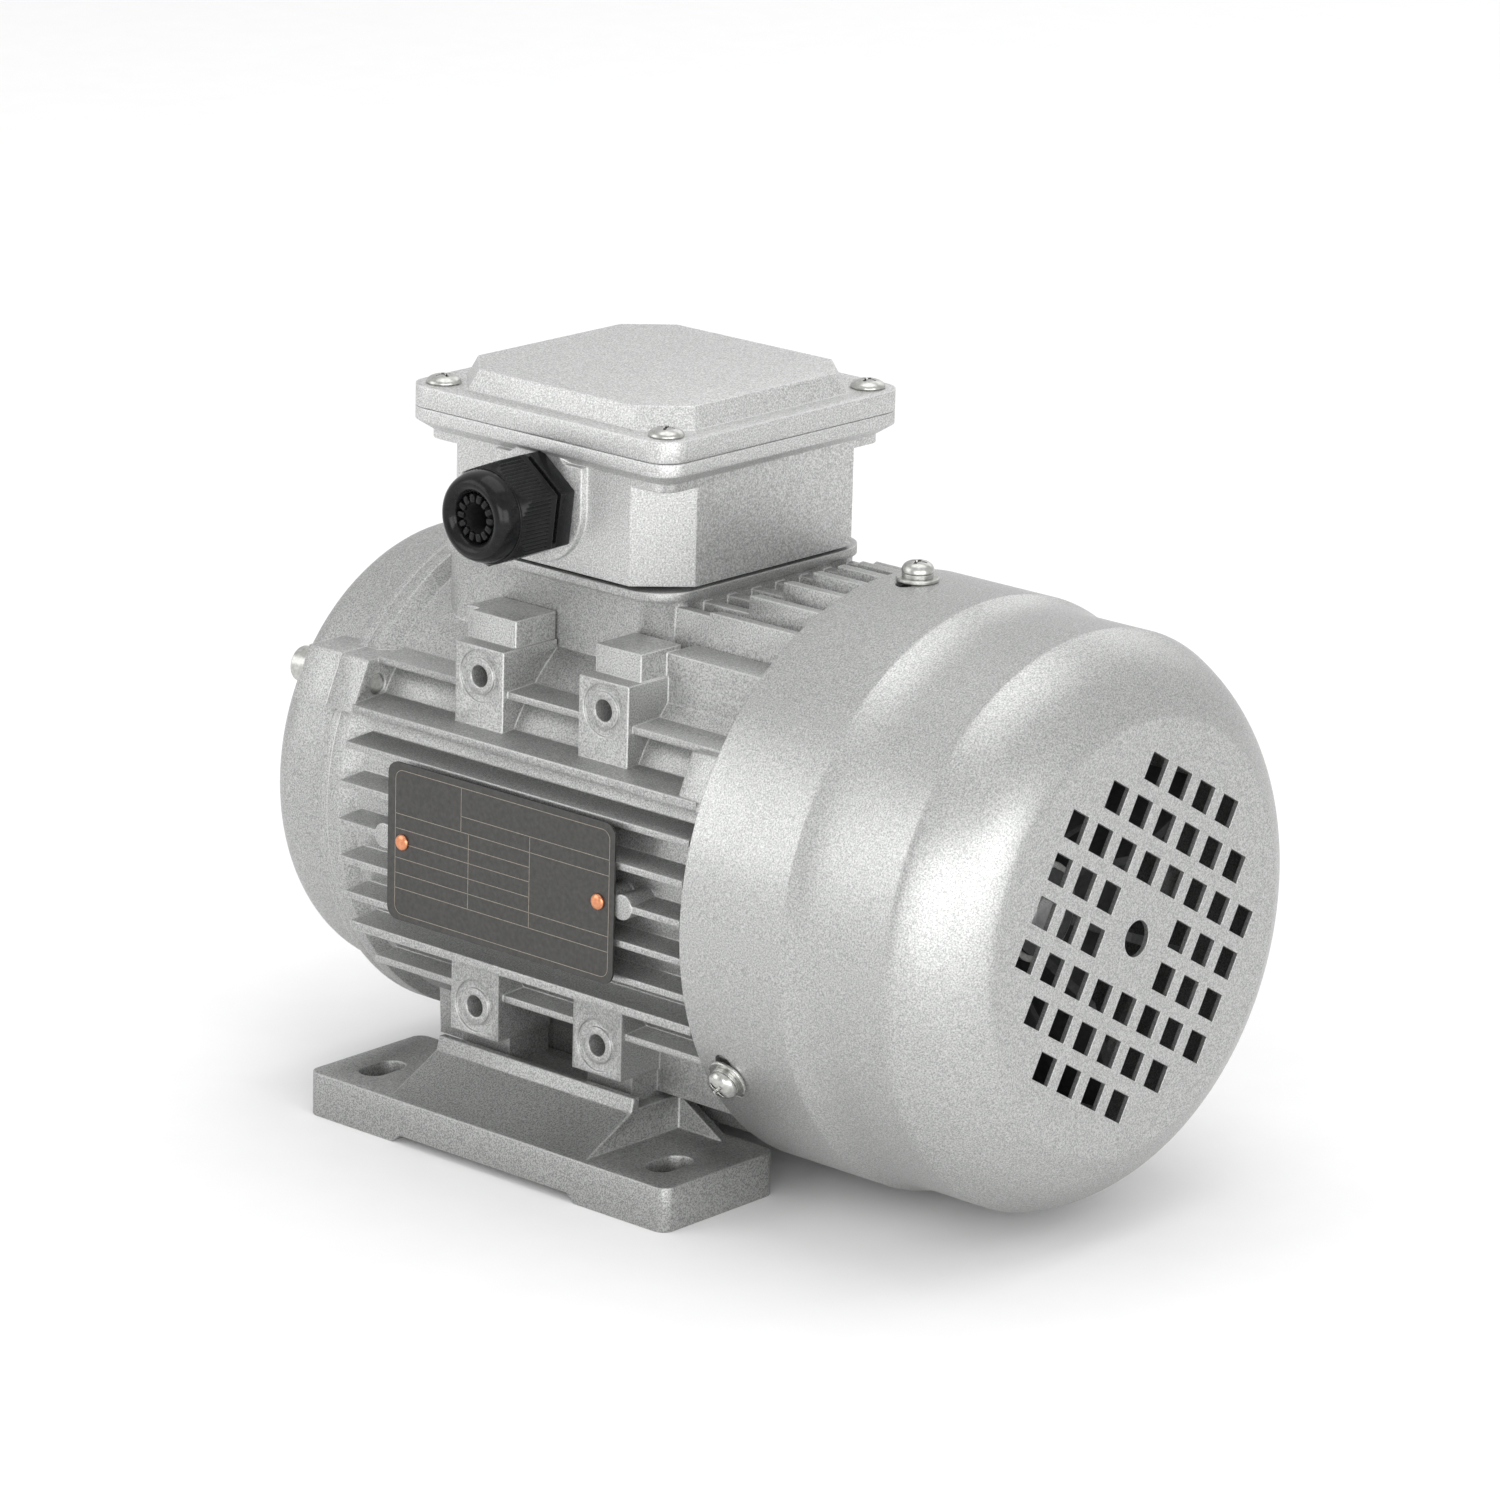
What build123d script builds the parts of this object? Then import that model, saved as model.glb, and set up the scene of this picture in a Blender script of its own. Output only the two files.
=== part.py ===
from build123d import *

import os
from math import cos, pi, radians, sin, sqrt

# A foot-mounted, fan-cooled, single-phase induction motor of frame size 71.
# Millimetres. The shaft runs along Y, with the drive end towards -Y and the fan
# towards +Y. The nameplate faces +X and the terminal box is on top, towards +Z.
# The origin is the centre of the foot bolt pattern, on the mounting plane.

os.makedirs("parts", exist_ok=True)

# Frame size: the standard's own dimensions
shaft_height = 71.0
foot_span = 112.0
foot_pitch = 90.0
foot_to_shoulder = 45.0
shaft_radius = 7.0
shaft_reach = 30.0
key_width = 5.0
key_height = 5.0
key_length = 20.0
keyway_depth = 3.0
foot_slot_width = 7.0
foot_slot_length = 12.5

# Fits and clearances
seat_gap = 0.03
thread_gap = 0.05
running_gap = 0.08
air_gap = 0.35
hole_clearance = 0.4

# Fasteners: thread radius, head radius, head height
m3_radius, m3_head_radius, m3_head_height = 1.5, 2.75, 1.8
m4_radius, m4_head_radius, m4_head_height = 2.0, 3.9, 2.6
m5_radius, m5_head_radius, m5_head_height = 2.5, 4.25, 5.0
m6_radius, m6_head_radius, m6_head_height = 3.0, 5.0, 6.0
m6_tap_radius = 2.6

# Stator frame
bore_radius = 48.0
barrel_radius = 57.0
flange_radius = 59.7
flange_width = 3.6
flange_slope = 3.2
drive_joint_y = -60.0
fan_joint_y = 57.0
fin_envelope_radius = 65.0
fin_pitch = 8.95
fins_each_side_of_middle = 2
fin_tip_thickness = 1.5
fin_root_thickness = 3.0
wide_fin_level = 25.9
wide_fin_reach = 60.5
high_fin_level = 36.0
high_fin_reach = 52.0
side_fin_end_y = 54.4
top_fin_pitch = 8.2
top_fins_per_half = 4
top_fin_thickness = 2.4
envelope_radius = 66.0
shoulder_block_x = 40.5
shoulder_block_inner_x = 31.0
shoulder_block_top = 51.5
shoulder_block_start_y = 27.0

# Foot bosses on the frame
boss_face_x = 53.6
boss_width = 14.8
boss_rows = (-18.0, 20.2)
boss_low = 26.8
boss_high = 46.2
boss_step_x = 49.0
boss_block_x = 36.0
boss_block_width = 13.6
boss_block_top = 52.6
boss_hole_level = 39.3
boss_hole_depth = 11.0
boss_ring_radius = 6.1
boss_collar_radius = 4.3
boss_ring_depth = 0.6
wedge_reach_x = 46.5
wedge_start_y = -28.5
wedge_end_y = -25.0

# Lugs that carry the end shield screws
lug_screw_radius = 60.4
lug_angles = (30.0, 150.0, 270.0)
lug_reach = 60.5
lug_low = 24.9
lug_top = 36.4
lug_inner_x = 44.0
lug_shoulder_x = 55.3
bottom_lug_half = 7.5
bottom_lug_reach = 65.6
bottom_lug_inner = 50.0
frame_lug_depth = 8.5
drive_lug_depth = 10.5
fan_lug_depth = 6.0

# End shields and bearings
spigot_depth = 4.0
spigot_wall = 4.5
shield_wall = 4.5
drive_shield_front_y = -86.5
drive_shield_rim_radius = 54.4
drive_shield_rounding = 10.0
fan_shield_depth = 6.0
bearing_bore_radius = 7.5
bearing_outer_radius = 17.5
bearing_width = 11.0
bearing_pitch_radius = 12.5
bearing_shoulder_inner = 10.4
bearing_shoulder_outer = 14.6
ball_radius = 2.95
ball_count = 8
drive_bearing_y = -74.5
fan_bearing_y = 63.5
bearing_housing_wall = 5.0
wave_spring_height = 1.2
seal_outer_radius = 13.0
seal_width = 5.0

# Core and windings
core_length = 60.0
core_centre_y = -4.0
stator_slot_count = 24
stator_inner_radius = 29.0
slot_bottom_radius = 39.0
slot_mouth = 2.2
slot_inner_width = 3.4
slot_outer_width = 5.4
winding_overhang = 19.0
winding_standoff = 1.5
winding_middle_radius = 38.2
winding_thickness = 13.5
rotor_slot_count = 20
rotor_bar_width = 2.6
rotor_bar_depth = 6.0
rotor_bar_cover = 0.8
end_ring_width = 7.0
rotor_seat_radius = 9.0

# Fan and fan cover
fan_seat_radius = 6.0
fan_hub_radius = 12.0
fan_start_y = 84.0
fan_hub_length = 14.0
fan_sleeve_radius = 10.0
fan_sleeve_length = 7.0
fan_radius = 54.0
fan_disc_thickness = 2.5
fan_blade_count = 8
fan_blade_thickness = 2.2
fan_blade_width = 26.8
clamp_wall = 1.6
clamp_width = 5.0
clamp_ear_reach = 16.5
clamp_ear_span = 4.8
clamp_screw_level = 14.3
cover_start_y = 57.5
cover_end_y = 130.8
cover_radius = 68.3
cover_neck_radius = 66.2
cover_face_radius = 49.7
cover_wall = 1.2
cover_shoulder_start_y = 86.5
cover_shoulder_end_y = 98.5
cover_round_start_y = 114.3
cover_screw_y = 65.0
cover_screw_angles = (90.0, 210.0, 330.0)
post_thickness = 4.6
post_width = 9.0
post_end_y = 70.0
cover_slot_length = 13.0
grille_pitch = 10.0
grille_hole = 6.4
grille_rows = (4, 6, 8, 8, 8, 8, 6, 4)
grille_turn = 30.0
grille_centre_radius = 4.2

# Terminal box
box_centre_y = -14.6
pad_rise = 62.1
pad_half = 35.6
pad_rim_half = 36.3
pad_corner = 10.0
pad_rim_height = 2.1
pad_window_width = 36.0
pad_window_length = 40.0
pad_window_offset = -11.4
box_gasket_thickness = 1.1
box_half = 37.2
box_corner = 10.5
box_wall = 3.0
box_floor = 3.0
floor_window_width = 12.0
floor_window_length = 20.0
floor_window_place = (-6.0, -21.4)
box_flange_half = 40.75
box_flange_corner = 6.5
box_ear_corner = 4.5
box_flange_rise = 31.6
box_flange_thickness = 3.0
box_flange_slope = 2.5
box_ear_height = 2.0
box_screw_half = 26.0
lid_seam = 0.2
lid_gasket_depth = 0.8
lid_rim_rise = 5.1
lid_rise = 4.9
lid_wall = 2.5
lid_raised_half = 35.3
lid_top_half = 33.4
lid_raised_corner = 9.4
lid_screw_half = 34.3

# Cable gland
gland_rise = 15.7
gland_pad_half = 13.5
gland_pad_height = 2.0
gland_thread_radius = 9.3
gland_hex = 22.0
gland_hex_thickness = 4.4
gland_neck_gap = 1.4
gland_nut_length = 10.5
gland_dome_length = 5.4
gland_dome_radius = 10.6
gland_opening_radius = 5.7
gland_cable_radius = 2.9
locknut_thickness = 3.2

# Capacitor and terminal board
capacitor_radius = 15.0
capacitor_length = 48.0
capacitor_x = -16.0
clip_thickness = 0.8
clip_tab_thickness = 1.6
clip_rise = 3.5
clip_base_width = 14.0
clip_width = 10.0
clip_screw_x = 14.5
board_x = 14.5
board_width = 25.0
board_length = 46.0
board_thickness = 3.0
board_standoff = 3.0
board_pillar_offset = 19.5
stud_radius = 2.0
stud_spacing_x = 13.0
stud_spacing_y = 13.0
stud_rise = 9.0
terminal_nut_flats = 7.0
terminal_nut_height = 3.2
link_thickness = 0.8
earth_x = 10.0
earth_offset_y = 27.5

# Feet
foot_outer_x = 69.4
foot_inner_x = 32.0
foot_half_length = 56.0
foot_plate = 10.5
foot_corner = 3.0
foot_pad_half = 30.5
foot_pad_inner_x = 34.0
foot_ramp_x = 67.4
foot_lip_x = 53.0
foot_lip_back_x = 50.3
foot_lip_rise = 2.8
foot_relief = 2.0
foot_relief_half = 26.3
foot_relief_slope = 2.4
foot_wall = 4.4
foot_inner_wall = 3.0
foot_screw_x = 42.5
foot_screw_length = 9.5

# Nameplate
plate_length = 70.0
plate_height = 37.4
plate_thickness = 0.6
plate_corner = 3.0
plate_centre_y = 0.6
rivet_span = 60.6
rivet_head_radius = 1.9
rivet_head_height = 0.9
rivet_shank_radius = 1.2
rivet_shank_length = 4.0
spare_boss_offset = 36.8
plate_boss_radius = 2.9
plate_boss_reach = 65.2

# Places worked out from the sizes above
shoulder_y = -(foot_pitch / 2 + foot_to_shoulder)
shaft_end_y = shoulder_y - shaft_reach
core_start_y = core_centre_y - core_length / 2
core_end_y = core_centre_y + core_length / 2
rotor_radius = stator_inner_radius - air_gap
side_fin_start_y = drive_joint_y + frame_lug_depth
drive_bearing_inner_y = drive_bearing_y + bearing_width / 2
fan_bearing_inner_y = fan_bearing_y - bearing_width / 2
pad_top = shaft_height + pad_rise
box_flange_top = pad_top + box_flange_rise
lid_rim_top = box_flange_top + lid_rim_rise
lid_top = lid_rim_top + lid_rise
gland_level = pad_top + gland_rise
box_bottom = pad_top + box_gasket_thickness
box_floor_top = box_bottom + box_floor
foot_pad_top = shaft_height - boss_block_top
post_top = cover_radius - cover_wall - 0.2
lug_holes = [
    (lug_screw_radius * cos(radians(angle)), lug_screw_radius * sin(radians(angle)))
    for angle in lug_angles
]

shaft_axis = Axis((0, 0, shaft_height), (0, 1, 0))
axial = Plane(origin=(0, 0, shaft_height), x_dir=(0, 1, 0), z_dir=(1, 0, 0))


def section(y):
    """A plane across the shaft at y: local x is X and local y is the height over the shaft."""
    return Plane(origin=(0, y, shaft_height), x_dir=(1, 0, 0), z_dir=(0, -1, 0))


def level(z):
    """A horizontal plane at height z, centred on the terminal box."""
    return Plane.XY.offset(z).move(Location((0, box_centre_y, 0)))


def radial(angle, radius, y):
    """A plane square to a radius of the motor, at an angle from +X and a distance from the shaft."""
    outward = (cos(radians(angle)), 0, sin(radians(angle)))
    origin = (radius * outward[0], y, shaft_height + radius * outward[2])
    return Plane(origin=origin, x_dir=(0, 1, 0), z_dir=outward)


def outline(*points, mode=Mode.ADD):
    """A polygon in the open sketch."""
    Polygon(*points, align=None, mode=mode)


def turned(*points, mode=Mode.ADD):
    """A ring turned about the shaft from (distance along the shaft, radius) points."""
    with BuildSketch(axial) as profile:
        outline(*points)
    revolve(profile.sketch, axis=shaft_axis, mode=mode)


def four_ways():
    """Copies what the open sketch holds to both sides of the shaft, above and below it."""
    mirror(about=Plane.YZ)
    mirror(about=Plane.XZ)


def cut_corner_square(half, cut, mode=Mode.ADD):
    """A square with its corners cut off at 45 degrees."""
    near = half - cut
    outline(
        (half, near),
        (near, half),
        (-near, half),
        (-half, near),
        (-half, -near),
        (-near, -half),
        (near, -half),
        (half, -near),
        mode=mode,
    )


def lug_outline():
    """The outlines of the three lugs for the end shield screws: one at each side and one below."""
    outline(
        (lug_inner_x, lug_low),
        (lug_reach, lug_low),
        (lug_shoulder_x, lug_top),
        (lug_inner_x, lug_top),
    )
    mirror(about=Plane.YZ)
    outline(
        (-bottom_lug_half, -bottom_lug_inner),
        (-bottom_lug_half, -bottom_lug_reach),
        (bottom_lug_half, -bottom_lug_reach),
        (bottom_lug_half, -bottom_lug_inner),
    )


def save(piece, name):
    piece.part.label = name
    export_step(piece.part, f"parts/{name}.step")


# Stator frame: a ribbed barrel with two flanges, four pairs of bosses and the pad for the box
with BuildPart() as housing:
    turned(
        (drive_joint_y, bore_radius),
        (drive_joint_y, flange_radius),
        (drive_joint_y + flange_width, flange_radius),
        (drive_joint_y + flange_width + flange_slope, barrel_radius),
        (fan_joint_y, barrel_radius),
        (fan_joint_y, bore_radius),
    )
    with BuildSketch(section(side_fin_end_y)):
        for index in range(-fins_each_side_of_middle, fins_each_side_of_middle + 1):
            middle = index * fin_pitch
            tip = sqrt(fin_envelope_radius**2 - middle**2)
            root = sqrt((barrel_radius - 2) ** 2 - middle**2)
            outline(
                (root, middle - fin_root_thickness / 2),
                (tip, middle - fin_tip_thickness / 2),
                (tip, middle + fin_tip_thickness / 2),
                (root, middle + fin_root_thickness / 2),
            )
        outline(
            (barrel_radius - 9, wide_fin_level - 1.9),
            (wide_fin_reach, wide_fin_level - 1),
            (wide_fin_reach, wide_fin_level + 1),
            (barrel_radius - 9, wide_fin_level + 1.9),
        )
        outline(
            (barrel_radius - 15, high_fin_level - 1.3),
            (high_fin_reach, high_fin_level - 0.8),
            (high_fin_reach, high_fin_level + 0.8),
            (barrel_radius - 15, high_fin_level + 1.3),
        )
        four_ways()
    extrude(amount=side_fin_end_y - side_fin_start_y)
    with BuildSketch(section(fan_joint_y)):
        for index in range(top_fins_per_half):
            middle = (index + 0.5) * top_fin_pitch
            tip = sqrt(envelope_radius**2 - middle**2)
            root = sqrt((barrel_radius - 2) ** 2 - middle**2)
            outline(
                (middle - top_fin_thickness * 0.7, root),
                (middle + top_fin_thickness * 0.7, root),
                (middle + top_fin_thickness / 2, tip),
                (middle - top_fin_thickness / 2, tip),
            )
        four_ways()
    extrude(amount=fan_joint_y - boss_rows[0])
    with BuildSketch(section(fan_joint_y)):
        outline(
            (shoulder_block_inner_x, high_fin_level),
            (shoulder_block_x, high_fin_level),
            (shoulder_block_x, shoulder_block_top),
            (shoulder_block_inner_x, shoulder_block_top),
        )
        four_ways()
    extrude(amount=fan_joint_y - shoulder_block_start_y)
    with BuildSketch(section(boss_rows[0])):
        for index in range(top_fins_per_half):
            middle = (index + 0.5) * top_fin_pitch
            tip = sqrt(envelope_radius**2 - middle**2)
            root = sqrt((barrel_radius - 2) ** 2 - middle**2)
            outline(
                (middle - top_fin_thickness * 0.7, -root),
                (middle + top_fin_thickness * 0.7, -root),
                (middle + top_fin_thickness / 2, -tip),
                (middle - top_fin_thickness / 2, -tip),
            )
        mirror(about=Plane.YZ)
    extrude(amount=boss_rows[0] - side_fin_start_y)
    with BuildSketch(level(pad_top - 3.5)):
        Circle(box_flange_half + 13)
    extrude(amount=20, mode=Mode.SUBTRACT)
    with BuildSketch(level(pad_top)):
        RectangleRounded(2 * pad_half, 2 * pad_half, pad_corner)
    extrude(amount=-(pad_top - shaft_height - bore_radius * 0.7))
    with BuildSketch(level(pad_top)):
        RectangleRounded(2 * pad_rim_half, 2 * pad_rim_half, pad_corner)
    extrude(amount=-pad_rim_height)
    for row in boss_rows:
        with BuildSketch(section(row + boss_width / 2)):
            outline(
                (boss_block_x, boss_low),
                (boss_face_x, boss_low),
                (boss_face_x, boss_high),
                (boss_block_x, boss_high),
            )
            four_ways()
        extrude(amount=boss_width)
        with BuildSketch(section(row + boss_block_width / 2)):
            outline(
                (boss_block_x, boss_high - 6),
                (boss_step_x, boss_high - 6),
                (boss_step_x, boss_block_top),
                (boss_block_x, boss_block_top),
            )
            four_ways()
        extrude(amount=boss_block_width)
    with BuildSketch(section(wedge_end_y)):
        outline(
            (boss_block_x, boss_high - 12),
            (wedge_reach_x, boss_high - 12),
            (wedge_reach_x, boss_block_top),
            (boss_block_x, boss_block_top),
        )
        mirror(about=Plane.XZ)
    extrude(amount=wedge_end_y - wedge_start_y)
    for lug_end_y in (drive_joint_y + frame_lug_depth, fan_joint_y):
        with BuildSketch(section(lug_end_y)):
            lug_outline()
        extrude(amount=frame_lug_depth)
    for offset in (-spare_boss_offset, -rivet_span / 2, rivet_span / 2, spare_boss_offset):
        with BuildSketch(axial.offset(barrel_radius - 2)):
            with Locations((plate_centre_y + offset, 0)):
                Circle(plate_boss_radius)
        extrude(amount=plate_boss_reach - barrel_radius + 2)
    boss_holes = [(row, height) for row in boss_rows for height in (-boss_hole_level, boss_hole_level)]
    for side in (1, -1):
        face = Plane(origin=(side * boss_face_x, 0, shaft_height), x_dir=(0, 1, 0), z_dir=(side, 0, 0))
        with BuildSketch(face):
            with Locations(*boss_holes):
                Circle(boss_ring_radius)
                Circle(boss_collar_radius, mode=Mode.SUBTRACT)
        extrude(amount=-boss_ring_depth, mode=Mode.SUBTRACT)
        with BuildSketch(face):
            with Locations(*boss_holes):
                Circle(m6_tap_radius)
        extrude(amount=-boss_hole_depth, mode=Mode.SUBTRACT)
    turned(
        (drive_joint_y - 1, 0),
        (drive_joint_y - 1, bore_radius),
        (fan_joint_y + 1, bore_radius),
        (fan_joint_y + 1, 0),
        mode=Mode.SUBTRACT,
    )
    with BuildSketch(level(pad_top)):
        with Locations((0, pad_window_offset)):
            RectangleRounded(pad_window_width, pad_window_length, 3)
    extrude(amount=-(pad_top - shaft_height), mode=Mode.SUBTRACT)
    with BuildSketch(level(pad_top)):
        with GridLocations(2 * box_screw_half, 2 * box_screw_half, 2, 2):
            Circle(m4_radius + thread_gap)
    extrude(amount=-10, mode=Mode.SUBTRACT)
    for lug_end_y in (drive_joint_y + frame_lug_depth, fan_joint_y):
        with BuildSketch(section(lug_end_y)):
            with Locations(*lug_holes):
                Circle(m5_radius + thread_gap)
        extrude(amount=frame_lug_depth, mode=Mode.SUBTRACT)
    with BuildSketch(Plane.XY.offset(foot_pad_top)):
        for side in (1, -1):
            with Locations(*[(side * foot_screw_x, row) for row in boss_rows]):
                Circle(m6_radius + thread_gap)
    extrude(amount=foot_screw_length, mode=Mode.SUBTRACT)
    with BuildSketch(axial.offset(plate_boss_reach)):
        with Locations((plate_centre_y, 0)):
            with GridLocations(rivet_span, 0, 2, 1):
                Circle(rivet_shank_radius + seat_gap)
    extrude(amount=-rivet_shank_length, mode=Mode.SUBTRACT)
save(housing, "housing")

# Feet: a slotted plate with a ramp up to the pad that the frame's bosses stand on
with BuildPart() as foot_right:
    with BuildSketch(Plane.XY):
        with Locations(((foot_outer_x + foot_inner_x) / 2, 0)):
            RectangleRounded(foot_outer_x - foot_inner_x, 2 * foot_half_length, foot_corner)
    extrude(amount=foot_plate)
    across = Plane(origin=(0, foot_pad_half, 0), x_dir=(1, 0, 0), z_dir=(0, -1, 0))
    with BuildSketch(across):
        outline(
            (foot_pad_inner_x, foot_plate - 1),
            (foot_ramp_x, foot_plate - 1),
            (foot_ramp_x, foot_plate),
            (foot_lip_x, foot_pad_top - 0.4),
            (foot_lip_x - 0.8, foot_pad_top + foot_lip_rise),
            (foot_lip_back_x, foot_pad_top + foot_lip_rise),
            (foot_lip_back_x, foot_pad_top),
            (foot_pad_inner_x, foot_pad_top),
        )
    extrude(amount=2 * foot_pad_half)
    with BuildSketch(Plane.YZ.offset(foot_pad_inner_x + 0.4)):
        outline(
            (foot_pad_half - 1, foot_plate - 1),
            (foot_pad_half + 13.5, foot_plate - 1),
            (foot_pad_half + 13.5, foot_plate),
            (foot_pad_half, foot_pad_top),
            (foot_pad_half - 1, foot_pad_top),
        )
        mirror(about=Plane.YZ)
    extrude(amount=2.4)
    with BuildSketch(Plane(origin=(0, foot_relief_half, 0), x_dir=(1, 0, 0), z_dir=(0, -1, 0))):
        outline(
            (foot_pad_inner_x + foot_inner_wall, -1),
            (foot_outer_x - 2 * foot_wall, -1),
            (foot_outer_x - 2 * foot_wall, foot_plate - foot_wall),
            (foot_lip_back_x - 1, foot_pad_top - foot_wall),
            (foot_pad_inner_x + foot_inner_wall, foot_pad_top - foot_wall),
        )
    extrude(amount=2 * foot_relief_half, mode=Mode.SUBTRACT)
    with BuildSketch(Plane.YZ.offset(foot_inner_x - 1)):
        outline(
            (-foot_relief_half - foot_relief_slope, 0),
            (-foot_relief_half, foot_relief),
            (foot_relief_half, foot_relief),
            (foot_relief_half + foot_relief_slope, 0),
        )
    extrude(amount=foot_outer_x - foot_inner_x + 2, mode=Mode.SUBTRACT)
    with BuildSketch(Plane.XY):
        with Locations((foot_span / 2, -foot_pitch / 2), (foot_span / 2, foot_pitch / 2)):
            SlotOverall(foot_slot_length, foot_slot_width)
    extrude(amount=foot_plate, mode=Mode.SUBTRACT)
    with BuildSketch(Plane.XY):
        with Locations(*[(foot_screw_x, row) for row in boss_rows]):
            Circle(m6_radius + hole_clearance / 2)
    extrude(amount=foot_pad_top, mode=Mode.SUBTRACT)
save(foot_right, "foot_right")

with BuildPart() as foot_left:
    mirror(foot_right.part, about=Plane.YZ)
save(foot_left, "foot_left")

# Foot screws: driven up through each foot into the bosses
with BuildPart() as foot_screws:
    seat = foot_pad_top - foot_wall
    for side in (1, -1):
        for row in boss_rows:
            with BuildSketch(Plane.XY.offset(seat)):
                with Locations((side * foot_screw_x, row)):
                    Circle(m6_head_radius)
                    RegularPolygon(m6_radius * 0.95, 6, mode=Mode.SUBTRACT)
            extrude(amount=-m6_head_height)
            with BuildSketch(Plane.XY.offset(seat - m6_head_height / 2)):
                with Locations((side * foot_screw_x, row)):
                    Circle(m6_radius)
            extrude(amount=foot_wall + foot_screw_length - 2 + m6_head_height / 2)
save(foot_screws, "foot_screws")

# Drive end shield: a dished cover that centres the shaft bearing in the frame
with BuildPart() as drive_shield:
    seat_front = drive_bearing_y - bearing_width / 2
    seal_back = drive_shield_front_y + seal_width
    seat_bore = bearing_outer_radius + seat_gap
    hub_radius = bearing_outer_radius + bearing_housing_wall
    panel_y = drive_shield_front_y + 2.5
    with BuildSketch(axial) as drive_profile:
        outline(
            (drive_joint_y + spigot_depth, bore_radius - spigot_wall),
            (drive_joint_y + spigot_depth, bore_radius - seat_gap),
            (drive_joint_y, bore_radius - seat_gap),
            (drive_joint_y, flange_radius),
            (drive_joint_y - 2.5, flange_radius),
            (drive_joint_y - 4, drive_shield_rim_radius + 0.8),
            (drive_shield_front_y, drive_shield_rim_radius),
            (drive_shield_front_y, hub_radius + 18),
            (panel_y, hub_radius + 15),
            (panel_y, hub_radius + 3),
            (drive_shield_front_y, hub_radius + 1),
            (drive_shield_front_y, seal_outer_radius + seat_gap),
            (seal_back, seal_outer_radius + seat_gap),
            (seal_back, rotor_seat_radius + 1.5),
            (seat_front, rotor_seat_radius + 1.5),
            (seat_front, seat_bore),
            (drive_bearing_inner_y, seat_bore),
            (drive_bearing_inner_y, hub_radius),
            (panel_y + shield_wall, hub_radius + 3),
            (panel_y + shield_wall, drive_shield_rim_radius - 10),
            (drive_joint_y - 9, drive_shield_rim_radius - shield_wall - 1),
            (drive_joint_y - 3.5, bore_radius - spigot_wall),
        )
        corner = (drive_shield_front_y, drive_shield_rim_radius, 0)
        fillet(drive_profile.vertices().sort_by_distance(corner)[0], radius=drive_shield_rounding)
    revolve(axis=shaft_axis)
    with BuildSketch(section(drive_joint_y)):
        lug_outline()
    extrude(amount=drive_lug_depth)
    with BuildSketch(section(panel_y + 0.5)):
        with PolarLocations(hub_radius + 9, 6, start_angle=30):
            Rectangle(16, 3.2)
    extrude(amount=3)
    with BuildSketch(section(drive_joint_y)):
        with Locations(*lug_holes):
            Circle(m5_radius + hole_clearance / 2)
    extrude(amount=drive_lug_depth, mode=Mode.SUBTRACT)
    with BuildSketch(section(drive_joint_y - drive_lug_depth)):
        with Locations(*lug_holes):
            Circle(m5_head_radius + hole_clearance)
    extrude(amount=drive_lug_depth, mode=Mode.SUBTRACT)
save(drive_shield, "drive_shield")

# Fan end shield: a flat cover with the second bearing seat and three posts for the fan cover
with BuildPart() as fan_shield:
    bearing_fan_side = fan_bearing_y + bearing_width / 2
    seat_end = bearing_fan_side + wave_spring_height
    turned(
        (fan_joint_y - spigot_depth, bore_radius - spigot_wall),
        (fan_joint_y - spigot_depth, bore_radius - seat_gap),
        (fan_joint_y, bore_radius - seat_gap),
        (fan_joint_y, barrel_radius),
        (fan_joint_y + fan_shield_depth, barrel_radius),
        (fan_joint_y + fan_shield_depth, hub_radius + 2),
        (seat_end + 3, hub_radius),
        (seat_end + 3, rotor_seat_radius),
        (seat_end, rotor_seat_radius),
        (seat_end, bearing_outer_radius + seat_gap),
        (fan_bearing_inner_y, bearing_outer_radius + seat_gap),
        (fan_bearing_inner_y, bore_radius - spigot_wall),
    )
    with BuildSketch(section(fan_joint_y + fan_lug_depth)):
        lug_outline()
    extrude(amount=fan_lug_depth)
    for angle in cover_screw_angles:
        with BuildSketch(radial(angle, post_top, 0)):
            with Locations(((fan_joint_y + post_end_y) / 2, 0)):
                Rectangle(post_end_y - fan_joint_y, post_width)
        extrude(amount=-post_thickness)
        with BuildSketch(radial(angle, post_top, 0)):
            with Locations((fan_joint_y + fan_shield_depth / 2, 0)):
                Rectangle(fan_shield_depth, post_width)
        extrude(amount=-(post_top - barrel_radius + 3))
        with BuildSketch(radial(angle, post_top, 0)):
            with Locations((cover_screw_y, 0)):
                Circle(m4_radius + thread_gap)
        extrude(amount=-post_thickness, mode=Mode.SUBTRACT)
    with BuildSketch(section(fan_joint_y + fan_lug_depth)):
        with Locations(*lug_holes):
            Circle(m5_radius + hole_clearance / 2)
    extrude(amount=fan_lug_depth, mode=Mode.SUBTRACT)
save(fan_shield, "fan_shield")


def socket_screw(x, height, seat_y, length, facing):
    """A cylindrical socket head screw along Y, with its head on the side that it faces."""
    seat_plane = Plane(origin=(x, seat_y, shaft_height + height), x_dir=(1, 0, 0), z_dir=(0, facing, 0))
    with BuildSketch(seat_plane) as head:
        Circle(m5_head_radius)
        RegularPolygon(m5_radius * 0.92, 6, mode=Mode.SUBTRACT)
    extrude(head.sketch, amount=m5_head_height)
    with BuildSketch(seat_plane.offset(m5_head_height / 2)) as shank:
        Circle(m5_radius)
    extrude(shank.sketch, amount=-(length + m5_head_height / 2))


# End shield screws
with BuildPart() as drive_screws:
    drive_screw_length = drive_lug_depth + frame_lug_depth - 0.6
    for x, height in lug_holes:
        socket_screw(x, height, drive_joint_y - drive_lug_depth, drive_screw_length, -1)
save(drive_screws, "drive_screws")

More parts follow.
